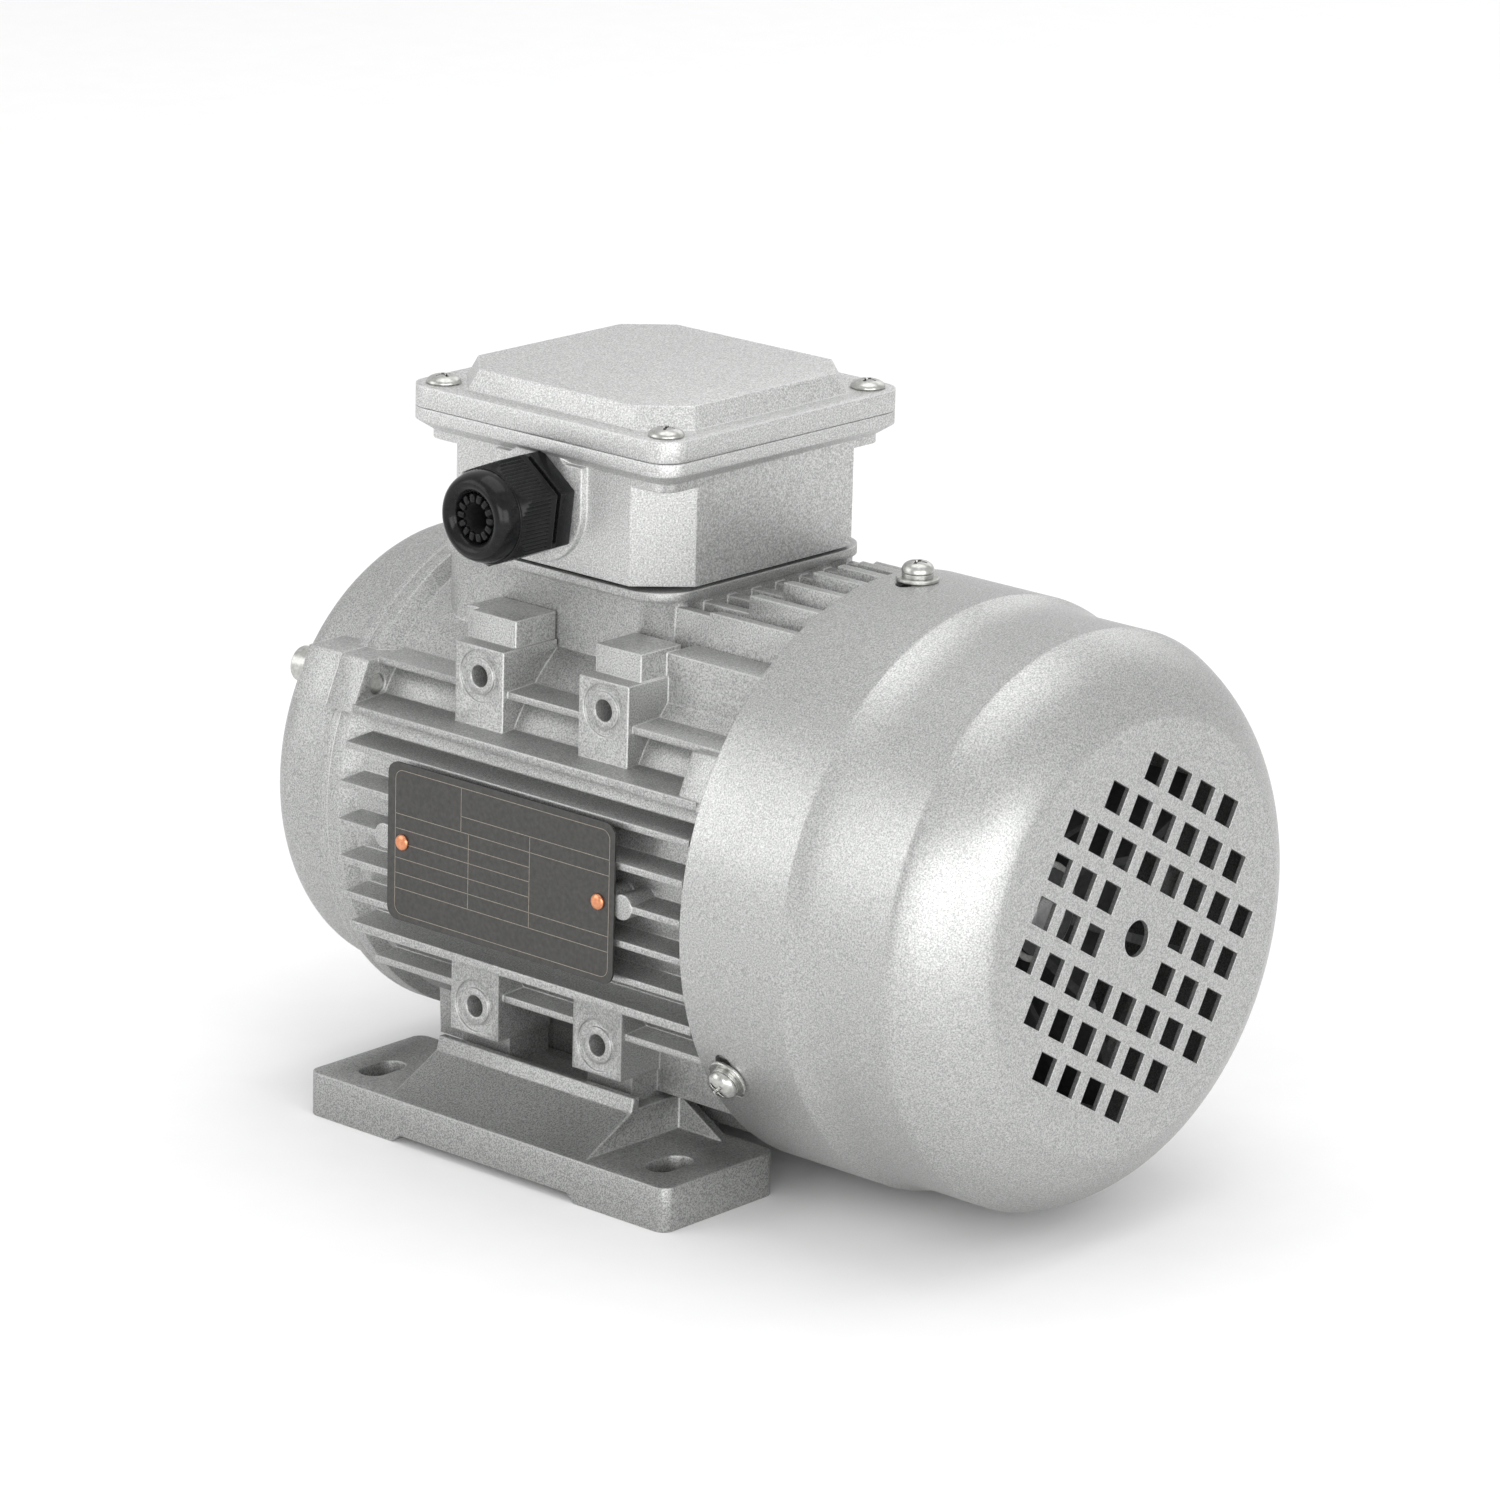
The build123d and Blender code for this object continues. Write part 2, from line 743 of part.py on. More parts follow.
with BuildPart() as fan_screws:
    for x, height in lug_holes:
        socket_screw(x, height, fan_joint_y + fan_lug_depth, fan_lug_depth + frame_lug_depth - 1, 1)
save(fan_screws, "fan_screws")

# Stator core: a stack of slotted rings
with BuildPart() as stator_core:
    with BuildSketch(section(core_end_y)):
        Circle(bore_radius - seat_gap)
        Circle(stator_inner_radius, mode=Mode.SUBTRACT)
        with PolarLocations(0, stator_slot_count):
            Polygon(
                (stator_inner_radius - 0.5, -slot_mouth / 2),
                (stator_inner_radius + 1, -slot_mouth / 2),
                (stator_inner_radius + 1.8, -slot_inner_width / 2),
                (slot_bottom_radius, -slot_outer_width / 2),
                (slot_bottom_radius, slot_outer_width / 2),
                (stator_inner_radius + 1.8, slot_inner_width / 2),
                (stator_inner_radius + 1, slot_mouth / 2),
                (stator_inner_radius - 0.5, slot_mouth / 2),
                align=None,
                mode=Mode.SUBTRACT,
            )
    extrude(amount=core_length)
save(stator_core, "stator_core")

# Stator winding: coil sides in the slots, joined by the coil heads at both ends
with BuildPart() as stator_winding:
    liner = 0.2
    with BuildSketch(section(core_end_y + winding_standoff)):
        with PolarLocations(0, stator_slot_count):
            Polygon(
                (stator_inner_radius + 2.1, -slot_inner_width / 2 + liner),
                (slot_bottom_radius - liner, -slot_outer_width / 2 + liner),
                (slot_bottom_radius - liner, slot_outer_width / 2 - liner),
                (stator_inner_radius + 2.1, slot_inner_width / 2 - liner),
                align=None,
            )
    extrude(amount=core_length + 2 * winding_standoff)
    for start in (core_end_y + winding_standoff, core_start_y - winding_standoff - winding_overhang):
        with BuildSketch(axial):
            with Locations((start + winding_overhang / 2, winding_middle_radius)):
                RectangleRounded(winding_overhang, winding_thickness, 4)
        revolve(axis=shaft_axis)
save(stator_winding, "stator_winding")

# Rotor core and the cast cage in it
with BuildPart() as rotor_core:
    bar_middle = rotor_radius - rotor_bar_cover - rotor_bar_depth / 2
    with BuildSketch(section(core_end_y)):
        Circle(rotor_radius)
        Circle(rotor_seat_radius + seat_gap, mode=Mode.SUBTRACT)
        with PolarLocations(bar_middle, rotor_slot_count):
            Rectangle(rotor_bar_depth, rotor_bar_width, mode=Mode.SUBTRACT)
    extrude(amount=core_length)
save(rotor_core, "rotor_core")

with BuildPart() as rotor_cage:
    ring_outer = rotor_radius - rotor_bar_cover
    with BuildSketch(section(core_end_y)):
        with PolarLocations(bar_middle, rotor_slot_count):
            Rectangle(rotor_bar_depth - 2 * seat_gap, rotor_bar_width - 2 * seat_gap)
    extrude(amount=core_length)
    for face_y, way in ((core_end_y, 1), (core_start_y, -1)):
        turned(
            (face_y, rotor_seat_radius + 8),
            (face_y, ring_outer),
            (face_y + way * end_ring_width, ring_outer - 1),
            (face_y + way * end_ring_width, rotor_seat_radius + 9),
        )
        ring_face = section(face_y + way * end_ring_width)
        with BuildSketch(ring_face):
            with PolarLocations((ring_outer + rotor_seat_radius + 8) / 2, 6):
                Rectangle(6, 2)
        extrude(amount=-way * 6)
save(rotor_cage, "rotor_cage")

# Shaft: stepped for two bearings, the rotor and the fan, with a keyed extension
with BuildPart() as shaft:
    fan_end_y = fan_start_y + fan_hub_length + fan_sleeve_length
    shaft_tail_y = fan_end_y + 1.5
    turned(
        (shaft_end_y, 0),
        (shaft_end_y, shaft_radius - 1),
        (shaft_end_y + 1, shaft_radius),
        (shoulder_y, shaft_radius),
        (shoulder_y, bearing_bore_radius),
        (drive_bearing_inner_y, bearing_bore_radius),
        (drive_bearing_inner_y, rotor_seat_radius),
        (fan_bearing_inner_y, rotor_seat_radius),
        (fan_bearing_inner_y, bearing_bore_radius),
        (fan_start_y, bearing_bore_radius),
        (fan_start_y, fan_seat_radius),
        (shaft_tail_y - 0.8, fan_seat_radius),
        (shaft_tail_y, fan_seat_radius - 0.8),
        (shaft_tail_y, 0),
    )
    turned(
        (shaft_end_y, 0),
        (shaft_end_y, 2.4),
        (shaft_end_y + 3, 1.2),
        (shaft_end_y + 7, 1.2),
        (shaft_end_y + 7.6, 0),
        mode=Mode.SUBTRACT,
    )
    keyway_floor = shaft_height + shaft_radius - keyway_depth
    with BuildSketch(Plane.XY.offset(keyway_floor)) as keyway:
        with Locations((0, (shoulder_y + shaft_end_y) / 2)):
            SlotOverall(key_length, key_width, rotation=90)
    extrude(amount=shaft_radius, mode=Mode.SUBTRACT)
save(shaft, "shaft")

with BuildPart() as shaft_key:
    with BuildSketch(Plane.XY.offset(keyway_floor)):
        with Locations((0, (shoulder_y + shaft_end_y) / 2)):
            SlotOverall(key_length - 2 * seat_gap, key_width - 2 * seat_gap, rotation=90)
    extrude(amount=key_height)
save(shaft_key, "shaft_key")

# Bearings: shielded ball bearings, each as its outer ring, its inner ring and its caged balls
for end, middle in (("drive", drive_bearing_y), ("fan", fan_bearing_y)):
    start = middle - bearing_width / 2
    finish = middle + bearing_width / 2
    shield_radius = bearing_shoulder_inner + 0.6
    race_radius = ball_radius + running_gap

    with BuildPart() as outer_ring:
        turned(
            (start, shield_radius),
            (start, bearing_outer_radius),
            (finish, bearing_outer_radius),
            (finish, shield_radius),
            (finish - 0.5, shield_radius),
            (finish - 0.5, bearing_shoulder_outer),
            (start + 0.5, bearing_shoulder_outer),
            (start + 0.5, shield_radius),
        )
        with BuildSketch(axial):
            with Locations((middle, bearing_pitch_radius)):
                Circle(race_radius)
        revolve(axis=shaft_axis, mode=Mode.SUBTRACT)
    save(outer_ring, f"{end}_bearing_outer_ring")

    with BuildPart() as inner_ring:
        turned(
            (start, bearing_bore_radius + seat_gap),
            (start, bearing_shoulder_inner),
            (finish, bearing_shoulder_inner),
            (finish, bearing_bore_radius + seat_gap),
        )
        with BuildSketch(axial):
            with Locations((middle, bearing_pitch_radius)):
                Circle(race_radius)
        revolve(axis=shaft_axis, mode=Mode.SUBTRACT)
    save(inner_ring, f"{end}_bearing_inner_ring")

    with BuildPart() as caged_balls:
        turned(
            (middle - 1.4, bearing_pitch_radius - 0.6),
            (middle - 1.4, bearing_pitch_radius + 0.6),
            (middle + 1.4, bearing_pitch_radius + 0.6),
            (middle + 1.4, bearing_pitch_radius - 0.6),
        )
        for index in range(ball_count):
            turn = 360 * (index + 0.5) / ball_count
            ball = Sphere(ball_radius, rotation=(90, 0, 0), mode=Mode.PRIVATE)
            ball = ball.moved(Location((bearing_pitch_radius, middle, shaft_height)))
            add(ball.rotate(shaft_axis, turn))
    save(caged_balls, f"{end}_bearing_balls")

# Wave spring: preloads the fan end bearing's outer ring
with BuildPart() as wave_spring:
    turned(
        (bearing_fan_side, bearing_shoulder_outer - 0.6),
        (bearing_fan_side, bearing_outer_radius - 0.2),
        (bearing_fan_side + wave_spring_height, bearing_outer_radius - 0.2),
        (bearing_fan_side + wave_spring_height, bearing_shoulder_outer - 0.6),
    )
save(wave_spring, "wave_spring")

# Shaft seal: a lip seal in the drive end shield
with BuildPart() as shaft_seal:
    lip_radius = bearing_bore_radius + running_gap
    turned(
        (seal_back, seal_outer_radius),
        (seal_back - seal_width, seal_outer_radius),
        (seal_back - seal_width, lip_radius + 2.5),
        (seal_back - seal_width + 1.5, lip_radius + 2.5),
        (seal_back - seal_width + 2.5, lip_radius),
        (seal_back - seal_width + 3.3, lip_radius),
        (seal_back - 1.2, lip_radius + 2.2),
        (seal_back - 1.2, seal_outer_radius - 1.2),
        (seal_back, seal_outer_radius - 1.2),
    )
save(shaft_seal, "shaft_seal")

# Fan: a hub and disc with straight radial blades, so that it cools either way round
with BuildPart() as fan:
    hub_bore = fan_seat_radius + seat_gap
    hub_end_y = fan_start_y + fan_hub_length
    turned(
        (fan_start_y, hub_bore),
        (fan_start_y, fan_radius - 4),
        (fan_start_y + fan_disc_thickness, fan_radius - 4),
        (fan_start_y + fan_disc_thickness + 1, fan_hub_radius + 2),
        (hub_end_y, fan_hub_radius),
        (hub_end_y, fan_sleeve_radius),
        (fan_end_y, fan_sleeve_radius),
        (fan_end_y, hub_bore),
    )
    blade_root_y = fan_start_y + fan_disc_thickness / 2
    blade_top = blade_root_y + fan_blade_width
    with BuildSketch(axial, mode=Mode.PRIVATE) as blade_profile:
        outline(
            (blade_root_y, fan_hub_radius - 3),
            (blade_root_y, fan_radius),
            (blade_top - 6, fan_radius),
            (blade_top, fan_radius - 8),
            (blade_top, fan_hub_radius + 12),
            (hub_end_y - 0.5, fan_hub_radius - 1),
        )
    blade = extrude(blade_profile.sketch, amount=fan_blade_thickness / 2, both=True, mode=Mode.PRIVATE)
    for index in range(fan_blade_count):
        add(blade.rotate(shaft_axis, 360 * (index + 0.5) / fan_blade_count))
save(fan, "fan")

# Fan clamp: a split ring that a small screw closes on the fan's sleeve
with BuildPart() as fan_clamp:
    clamp_start = fan_end_y - 1
    with BuildSketch(section(clamp_start)):
        Circle(fan_sleeve_radius + clamp_wall)
        with Locations((0, (fan_sleeve_radius + clamp_ear_reach) / 2)):
            Rectangle(clamp_ear_span, clamp_ear_reach - fan_sleeve_radius)
        Circle(fan_sleeve_radius + seat_gap, mode=Mode.SUBTRACT)
        with Locations((0, (fan_sleeve_radius + clamp_ear_reach) / 2)):
            Rectangle(1.6, clamp_ear_reach, mode=Mode.SUBTRACT)
    extrude(amount=clamp_width)
    clamp_hole = Plane(
        origin=(clamp_ear_span / 2, clamp_start - clamp_width / 2, shaft_height + clamp_screw_level),
        x_dir=(0, 1, 0),
        z_dir=(1, 0, 0),
    )
    with BuildSketch(clamp_hole):
        Circle(m3_radius + thread_gap)
    extrude(amount=-clamp_ear_span, mode=Mode.SUBTRACT)
save(fan_clamp, "fan_clamp")

with BuildPart() as fan_clamp_screw:
    with BuildSketch(clamp_hole):
        Circle(m3_head_radius * 0.8)
    extrude(amount=m3_head_height * 0.75)
    with BuildSketch(clamp_hole):
        Circle(m3_radius)
    extrude(amount=-(clamp_ear_span + 0.8))
save(fan_clamp_screw, "fan_clamp_screw")


def cover_curve(inset):
    """One face of the fan cover's wall, set in from the outside, from the rim to the end face."""
    rim = (cover_start_y, cover_radius - inset)
    shoulder = (cover_shoulder_start_y, cover_radius - inset)
    neck = (cover_shoulder_end_y, cover_neck_radius - inset)
    bend = (cover_round_start_y, cover_neck_radius - inset)
    face = (cover_end_y - inset, cover_face_radius - inset * 0.4)
    Line(rim, shoulder)
    half_run = (cover_shoulder_end_y - cover_shoulder_start_y) * 0.4
    Bezier(shoulder, (shoulder[0] + half_run, shoulder[1]), (neck[0] - half_run, neck[1]), neck)
    Line(neck, bend)
    pull_y = cover_round_start_y + 0.73 * (cover_end_y - cover_round_start_y) - inset * 0.7
    pull_radius = cover_face_radius + 0.685 * (cover_neck_radius - cover_face_radius) - inset * 0.7
    Bezier(bend, (pull_y, pull_radius), face)
    Line(face, (cover_end_y - inset, 0))


# Fan cover: a drawn sheet steel hood with an inlet grille in its end face
with BuildPart() as fan_cover:
    with BuildSketch(axial):
        with BuildLine():
            cover_curve(0)
            cover_curve(cover_wall)
            Line((cover_start_y, cover_radius), (cover_start_y, cover_radius - cover_wall))
            Line((cover_end_y, 0), (cover_end_y - cover_wall, 0))
        make_face()
    revolve(axis=shaft_axis)
    with BuildSketch(section(cover_end_y)):
        Circle(grille_centre_radius)
        turn = radians(grille_turn)
        for row, count in enumerate(grille_rows):
            for column in range(count):
                along = (column - (count - 1) / 2) * grille_pitch
                up = ((len(grille_rows) - 1) / 2 - row) * grille_pitch
                if max(abs(along), abs(up)) > grille_pitch:
                    hole = (along * cos(turn) - up * sin(turn), along * sin(turn) + up * cos(turn))
                    with Locations(hole):
                        Rectangle(grille_hole, grille_hole, rotation=grille_turn)
    extrude(amount=2 * cover_wall, mode=Mode.SUBTRACT)
    for angle in cover_screw_angles:
        with BuildSketch(radial(angle, cover_radius - 2 * cover_wall, 0)):
            with Locations((cover_screw_y, 0)):
                SlotOverall(cover_slot_length, 2 * m4_radius + hole_clearance, rotation=90)
        extrude(amount=4 * cover_wall, mode=Mode.SUBTRACT)
save(fan_cover, "fan_cover")

# Fan cover fasteners: pan head screws on spring washers and flat washers
washer_thickness = 0.9
spring_washer_thickness = 1.0
with BuildPart() as cover_screws:
    head_seat = cover_radius + washer_thickness + spring_washer_thickness
    for angle in cover_screw_angles:
        with BuildSketch(radial(angle, head_seat, cover_screw_y)):
            Circle(m4_head_radius)
        extrude(amount=m4_head_height, taper=18)
        with BuildSketch(radial(angle, head_seat, cover_screw_y)):
            Circle(m4_radius)
        extrude(amount=-(head_seat - post_top + post_thickness - 0.2))
save(cover_screws, "cover_screws")

with BuildPart() as cover_washers:
    for angle in cover_screw_angles:
        with BuildSketch(radial(angle, cover_radius, cover_screw_y)):
            Circle(m4_radius + 2.9)
            Circle(m4_radius + hole_clearance / 2, mode=Mode.SUBTRACT)
        extrude(amount=washer_thickness)
save(cover_washers, "cover_washers")

with BuildPart() as cover_spring_washers:
    for angle in cover_screw_angles:
        with BuildSketch(radial(angle, cover_radius + washer_thickness, cover_screw_y)):
            Circle(m4_radius + 1.6)
            Circle(m4_radius + hole_clearance / 2, mode=Mode.SUBTRACT)
            with Locations((m4_radius + 1, 0)):
                Rectangle(3, 0.7, mode=Mode.SUBTRACT)
        extrude(amount=spring_washer_thickness)
save(cover_spring_washers, "cover_spring_washers")

# Gasket between the frame's pad and the terminal box
with BuildPart() as box_gasket:
    with BuildSketch(level(pad_top)):
        cut_corner_square(box_half - 2.5, box_corner)
        with Locations((0, pad_window_offset)):
            RectangleRounded(pad_window_width, pad_window_length, 3, mode=Mode.SUBTRACT)
        with GridLocations(2 * box_screw_half, 2 * box_screw_half, 2, 2):
            Circle(m4_radius + hole_clearance / 2, mode=Mode.SUBTRACT)
    extrude(amount=box_gasket_thickness)
save(box_gasket, "box_gasket")

# Terminal box: an open cast tray with cut corners, a flange with four ears and the gland pad
with BuildPart() as terminal_box:
    slope_bottom = box_flange_top - box_flange_thickness - box_flange_slope
    with BuildSketch(level(box_bottom)):
        cut_corner_square(box_half, box_corner)
    extrude(amount=box_flange_top - box_bottom)
    with BuildSketch(level(slope_bottom - box_ear_height)):
        RectangleRounded(2 * box_half, 2 * box_half, box_ear_corner)
    extrude(amount=box_ear_height)
    with BuildSketch(level(slope_bottom)):
        RectangleRounded(2 * box_half, 2 * box_half, box_ear_corner)
    with BuildSketch(level(slope_bottom + box_flange_slope)):
        RectangleRounded(2 * box_flange_half, 2 * box_flange_half, box_flange_corner)
    loft()
    with BuildSketch(level(slope_bottom + box_flange_slope)):
        RectangleRounded(2 * box_flange_half, 2 * box_flange_half, box_flange_corner)
    extrude(amount=box_flange_thickness)
    gland_wall = Plane(origin=(box_half, box_centre_y, gland_level), x_dir=(0, 1, 0), z_dir=(1, 0, 0))
    with BuildSketch(gland_wall):
        Circle(gland_pad_half)
        with Locations((0, (slope_bottom - gland_level) / 2)):
            Rectangle(2 * gland_pad_half, slope_bottom - gland_level)
    extrude(amount=gland_pad_height)
    with BuildSketch(level(box_floor_top)):
        cut_corner_square(box_half - box_wall, box_corner - 1)
    extrude(amount=box_flange_top - box_floor_top, mode=Mode.SUBTRACT)
    with BuildSketch(level(box_flange_top - lid_gasket_depth + lid_seam)):
        cut_corner_square(box_half + 0.7, box_corner + 2.5)
    extrude(amount=lid_gasket_depth, mode=Mode.SUBTRACT)
    with BuildSketch(level(box_floor_top)):
        with Locations((board_x, 0)):
            with GridLocations(0, 2 * board_pillar_offset, 1, 2):
                Circle(3.2)
    extrude(amount=board_standoff)
    with BuildSketch(level(box_floor_top)):
        with Locations((earth_x, earth_offset_y)):
            Circle(4.2)
    extrude(amount=1.5)
    with BuildSketch(gland_wall.offset(gland_pad_height)):
        Circle(gland_thread_radius + thread_gap)
    extrude(amount=-(gland_pad_height + box_wall + 1), mode=Mode.SUBTRACT)
    with BuildSketch(level(box_bottom)):
        with Locations(floor_window_place):
            RectangleRounded(floor_window_width, floor_window_length, 3)
        with GridLocations(2 * box_screw_half, 2 * box_screw_half, 2, 2):
            Circle(m4_radius + hole_clearance / 2)
    extrude(amount=box_floor, mode=Mode.SUBTRACT)
    with BuildSketch(level(box_flange_top)):
        with GridLocations(2 * lid_screw_half, 2 * lid_screw_half, 2, 2):
            Circle(m4_radius + thread_gap)
    extrude(amount=-(box_flange_thickness + box_flange_slope + box_ear_height), mode=Mode.SUBTRACT)
    with BuildSketch(level(box_floor_top + board_standoff)):
        with Locations((board_x, 0)):
            with GridLocations(0, 2 * board_pillar_offset, 1, 2):
                Circle(m3_radius + thread_gap)
        with Locations((earth_x, earth_offset_y)):
            Circle(m4_radius + thread_gap)
        with Locations((capacitor_x + clip_screw_x, 0)):
            Circle(m3_radius + thread_gap)
    extrude(amount=-(board_standoff + 1.5), mode=Mode.SUBTRACT)
save(terminal_box, "terminal_box")

# Terminal box fasteners
with BuildPart() as box_screws:
    with BuildSketch(level(box_floor_top)):
        with GridLocations(2 * box_screw_half, 2 * box_screw_half, 2, 2):
            Circle(m4_head_radius)
    extrude(amount=m4_head_height, taper=18)
    with BuildSketch(level(box_floor_top)):
        with GridLocations(2 * box_screw_half, 2 * box_screw_half, 2, 2):
            Circle(m4_radius)
    extrude(amount=-(box_floor + box_gasket_thickness + 8))
save(box_screws, "box_screws")

with BuildPart() as lid_gasket:
    with BuildSketch(level(box_flange_top + lid_seam - lid_gasket_depth)):
        cut_corner_square(box_half + 0.65, box_corner + 2.5)
        cut_corner_square(box_half - box_wall, box_corner - 1, mode=Mode.SUBTRACT)
    extrude(amount=lid_gasket_depth)
save(lid_gasket, "lid_gasket")

# Lid: a flat rim with a raised, cut-cornered panel, hollow below
with BuildPart() as box_lid:
    rim_bottom = box_flange_top + lid_seam
    with BuildSketch(level(rim_bottom)):
        RectangleRounded(2 * box_flange_half, 2 * box_flange_half, box_flange_corner)
    extrude(amount=lid_rim_top - rim_bottom)
    with BuildSketch(level(lid_rim_top)):
        cut_corner_square(lid_raised_half, lid_raised_corner)
    with BuildSketch(level(lid_top)):
        cut_corner_square(lid_top_half, lid_raised_corner)
    loft()
    with BuildSketch(level(rim_bottom)):
        cut_corner_square(lid_top_half - lid_wall, lid_raised_corner)
    extrude(amount=lid_top - lid_wall - rim_bottom, mode=Mode.SUBTRACT)
    with BuildSketch(level(rim_bottom)):
        with GridLocations(2 * lid_screw_half, 2 * lid_screw_half, 2, 2):
            Circle(m4_radius + hole_clearance / 2)
    extrude(amount=lid_rim_top - rim_bottom, mode=Mode.SUBTRACT)
save(box_lid, "box_lid")

with BuildPart() as lid_screws:
    with BuildSketch(level(lid_rim_top)):
        with GridLocations(2 * lid_screw_half, 2 * lid_screw_half, 2, 2):
            Circle(m4_head_radius)
    extrude(amount=m4_head_height, taper=18)
    with BuildSketch(level(lid_rim_top)):
        with GridLocations(2 * lid_screw_half, 2 * lid_screw_half, 2, 2):
            Circle(m4_radius)
    extrude(amount=-(lid_rim_top - rim_bottom + 7))
save(lid_screws, "lid_screws")

# Cable gland: threaded body, rubber insert, domed nut and the locknut inside the box
gland_face = gland_wall.offset(gland_pad_height)
gland_inside = -(gland_pad_height + box_wall)
gland_nut_start = gland_hex_thickness + gland_neck_gap
gland_tip = gland_nut_start + gland_nut_length + gland_dome_length

with BuildPart() as gland_body:
    with BuildSketch(gland_face):
        RegularPolygon(gland_hex / 2, 6, major_radius=False)
    extrude(amount=gland_hex_thickness)
    with BuildSketch(gland_face.offset(gland_inside - locknut_thickness - 1.5)):
        Circle(gland_thread_radius)
    extrude(amount=-gland_inside + locknut_thickness + 1.5)
    with BuildSketch(gland_face):
        Circle(gland_thread_radius - 0.9)
    extrude(amount=gland_nut_start + gland_nut_length - 1)
    with BuildSketch(gland_face.offset(gland_inside - locknut_thickness - 1.5)):
        Circle(gland_opening_radius)
    extrude(amount=gland_tip + 20, mode=Mode.SUBTRACT)
save(gland_body, "gland_body")

with BuildPart() as gland_nut:
    with BuildSketch(gland_face.offset(gland_nut_start)):
        RegularPolygon(gland_hex / 2, 6, major_radius=False)
    extrude(amount=gland_nut_length)
    root = gland_nut_start + gland_nut_length
    with BuildSketch(Plane(gland_face.origin, x_dir=(1, 0, 0), z_dir=(0, -1, 0))):
        with BuildLine():
            Line((root - 1, 0), (root - 1, gland_dome_radius))
            Line((root - 1, gland_dome_radius), (root, gland_dome_radius))
            Bezier(
                (root, gland_dome_radius),
                (root + gland_dome_length * 0.75, gland_dome_radius),
                (gland_tip, gland_opening_radius + 2.6),
                (gland_tip, gland_opening_radius + 0.6),
            )
            Line((gland_tip, gland_opening_radius + 0.6), (gland_tip, 0))
            Line((gland_tip, 0), (root - 1, 0))
        make_face()
    revolve(axis=Axis((0, box_centre_y, gland_level), (1, 0, 0)))
    with BuildSketch(gland_face.offset(gland_nut_start)):
        Circle(gland_thread_radius - 0.9 + thread_gap)
    extrude(amount=gland_nut_length + 1, mode=Mode.SUBTRACT)
    with BuildSketch(gland_face.offset(gland_nut_start)):
        Circle(gland_opening_radius)
    extrude(amount=gland_nut_length + gland_dome_length + 1, mode=Mode.SUBTRACT)
save(gland_nut, "gland_nut")

with BuildPart() as gland_insert:
    with BuildSketch(gland_face.offset(gland_nut_start + 1)):
        Circle(gland_opening_radius - seat_gap)
        Circle(gland_cable_radius, mode=Mode.SUBTRACT)
    extrude(amount=gland_nut_length + gland_dome_length - 3)
save(gland_insert, "gland_insert")

with BuildPart() as gland_locknut:
    with BuildSketch(gland_face.offset(gland_inside)):
        RegularPolygon(gland_hex / 2, 6, major_radius=False)
        Circle(gland_thread_radius + thread_gap, mode=Mode.SUBTRACT)
    extrude(amount=-locknut_thickness)
save(gland_locknut, "gland_locknut")

# Run capacitor and its clip
capacitor_level = box_floor_top + clip_rise + capacitor_radius
can_end = Plane(
    origin=(capacitor_x, box_centre_y + capacitor_length / 2, capacitor_level),
    x_dir=(1, 0, 0),
    z_dir=(0, -1, 0),
)
with BuildPart() as capacitor:
    with BuildSketch(can_end):
        Circle(capacitor_radius - seat_gap)
    extrude(amount=capacitor_length)
    with BuildSketch(can_end):
        with GridLocations(8, 0, 2, 1):
            Rectangle(0.8, 5)
    extrude(amount=-4.5)
save(capacitor, "capacitor")

with BuildPart() as capacitor_clip:
    with BuildSketch(can_end.offset((capacitor_length - clip_width) / 2)):
        Circle(capacitor_radius + clip_thickness)
        with Locations((0, -capacitor_radius / 2 - clip_rise / 2)):
            Rectangle(clip_base_width, capacitor_radius + clip_rise)
        with Locations((clip_screw_x / 2 + 1.5, clip_tab_thickness / 2 - capacitor_radius - clip_rise)):
            Rectangle(clip_screw_x + 3, clip_tab_thickness)
        Circle(capacitor_radius, mode=Mode.SUBTRACT)
    extrude(amount=clip_width)
    with BuildSketch(level(box_floor_top)):
        with Locations((capacitor_x + clip_screw_x, 0)):
            Circle(m3_radius + hole_clearance / 2)
    extrude(amount=clip_tab_thickness, mode=Mode.SUBTRACT)
save(capacitor_clip, "capacitor_clip")

with BuildPart() as clip_screw:
    with BuildSketch(level(box_floor_top + clip_tab_thickness)):
        with Locations((capacitor_x + clip_screw_x, 0)):
            Circle(m3_head_radius)
    extrude(amount=m3_head_height)
    with BuildSketch(level(box_floor_top + clip_tab_thickness)):
        with Locations((capacitor_x + clip_screw_x, 0)):
            Circle(m3_radius)
    extrude(amount=-(clip_tab_thickness + 1.3))
save(clip_screw, "clip_screw")

# Terminal board with its studs, nuts and links
board_bottom = box_floor_top + board_standoff
board_top = board_bottom + board_thickness
with BuildPart() as terminal_board:
    with BuildSketch(level(board_bottom)):
        with Locations((board_x, 0)):
            Rectangle(board_width, board_length)
            with GridLocations(0, 2 * board_pillar_offset, 1, 2):
                Circle(m3_radius + hole_clearance / 2, mode=Mode.SUBTRACT)
            with GridLocations(stud_spacing_x, stud_spacing_y, 2, 3):
                Circle(stud_radius + thread_gap, mode=Mode.SUBTRACT)
    extrude(amount=board_thickness)
save(terminal_board, "terminal_board")

with BuildPart() as terminal_studs:
    with BuildSketch(level(board_bottom - 1.4)):
        with Locations((board_x, 0)):
            with GridLocations(stud_spacing_x, stud_spacing_y, 2, 3):
                RegularPolygon(3.5, 6)
    extrude(amount=1.4)
    with BuildSketch(level(board_bottom)):
        with Locations((board_x, 0)):
            with GridLocations(stud_spacing_x, stud_spacing_y, 2, 3):
                Circle(stud_radius)
    extrude(amount=board_thickness + stud_rise)
save(terminal_studs, "terminal_studs")

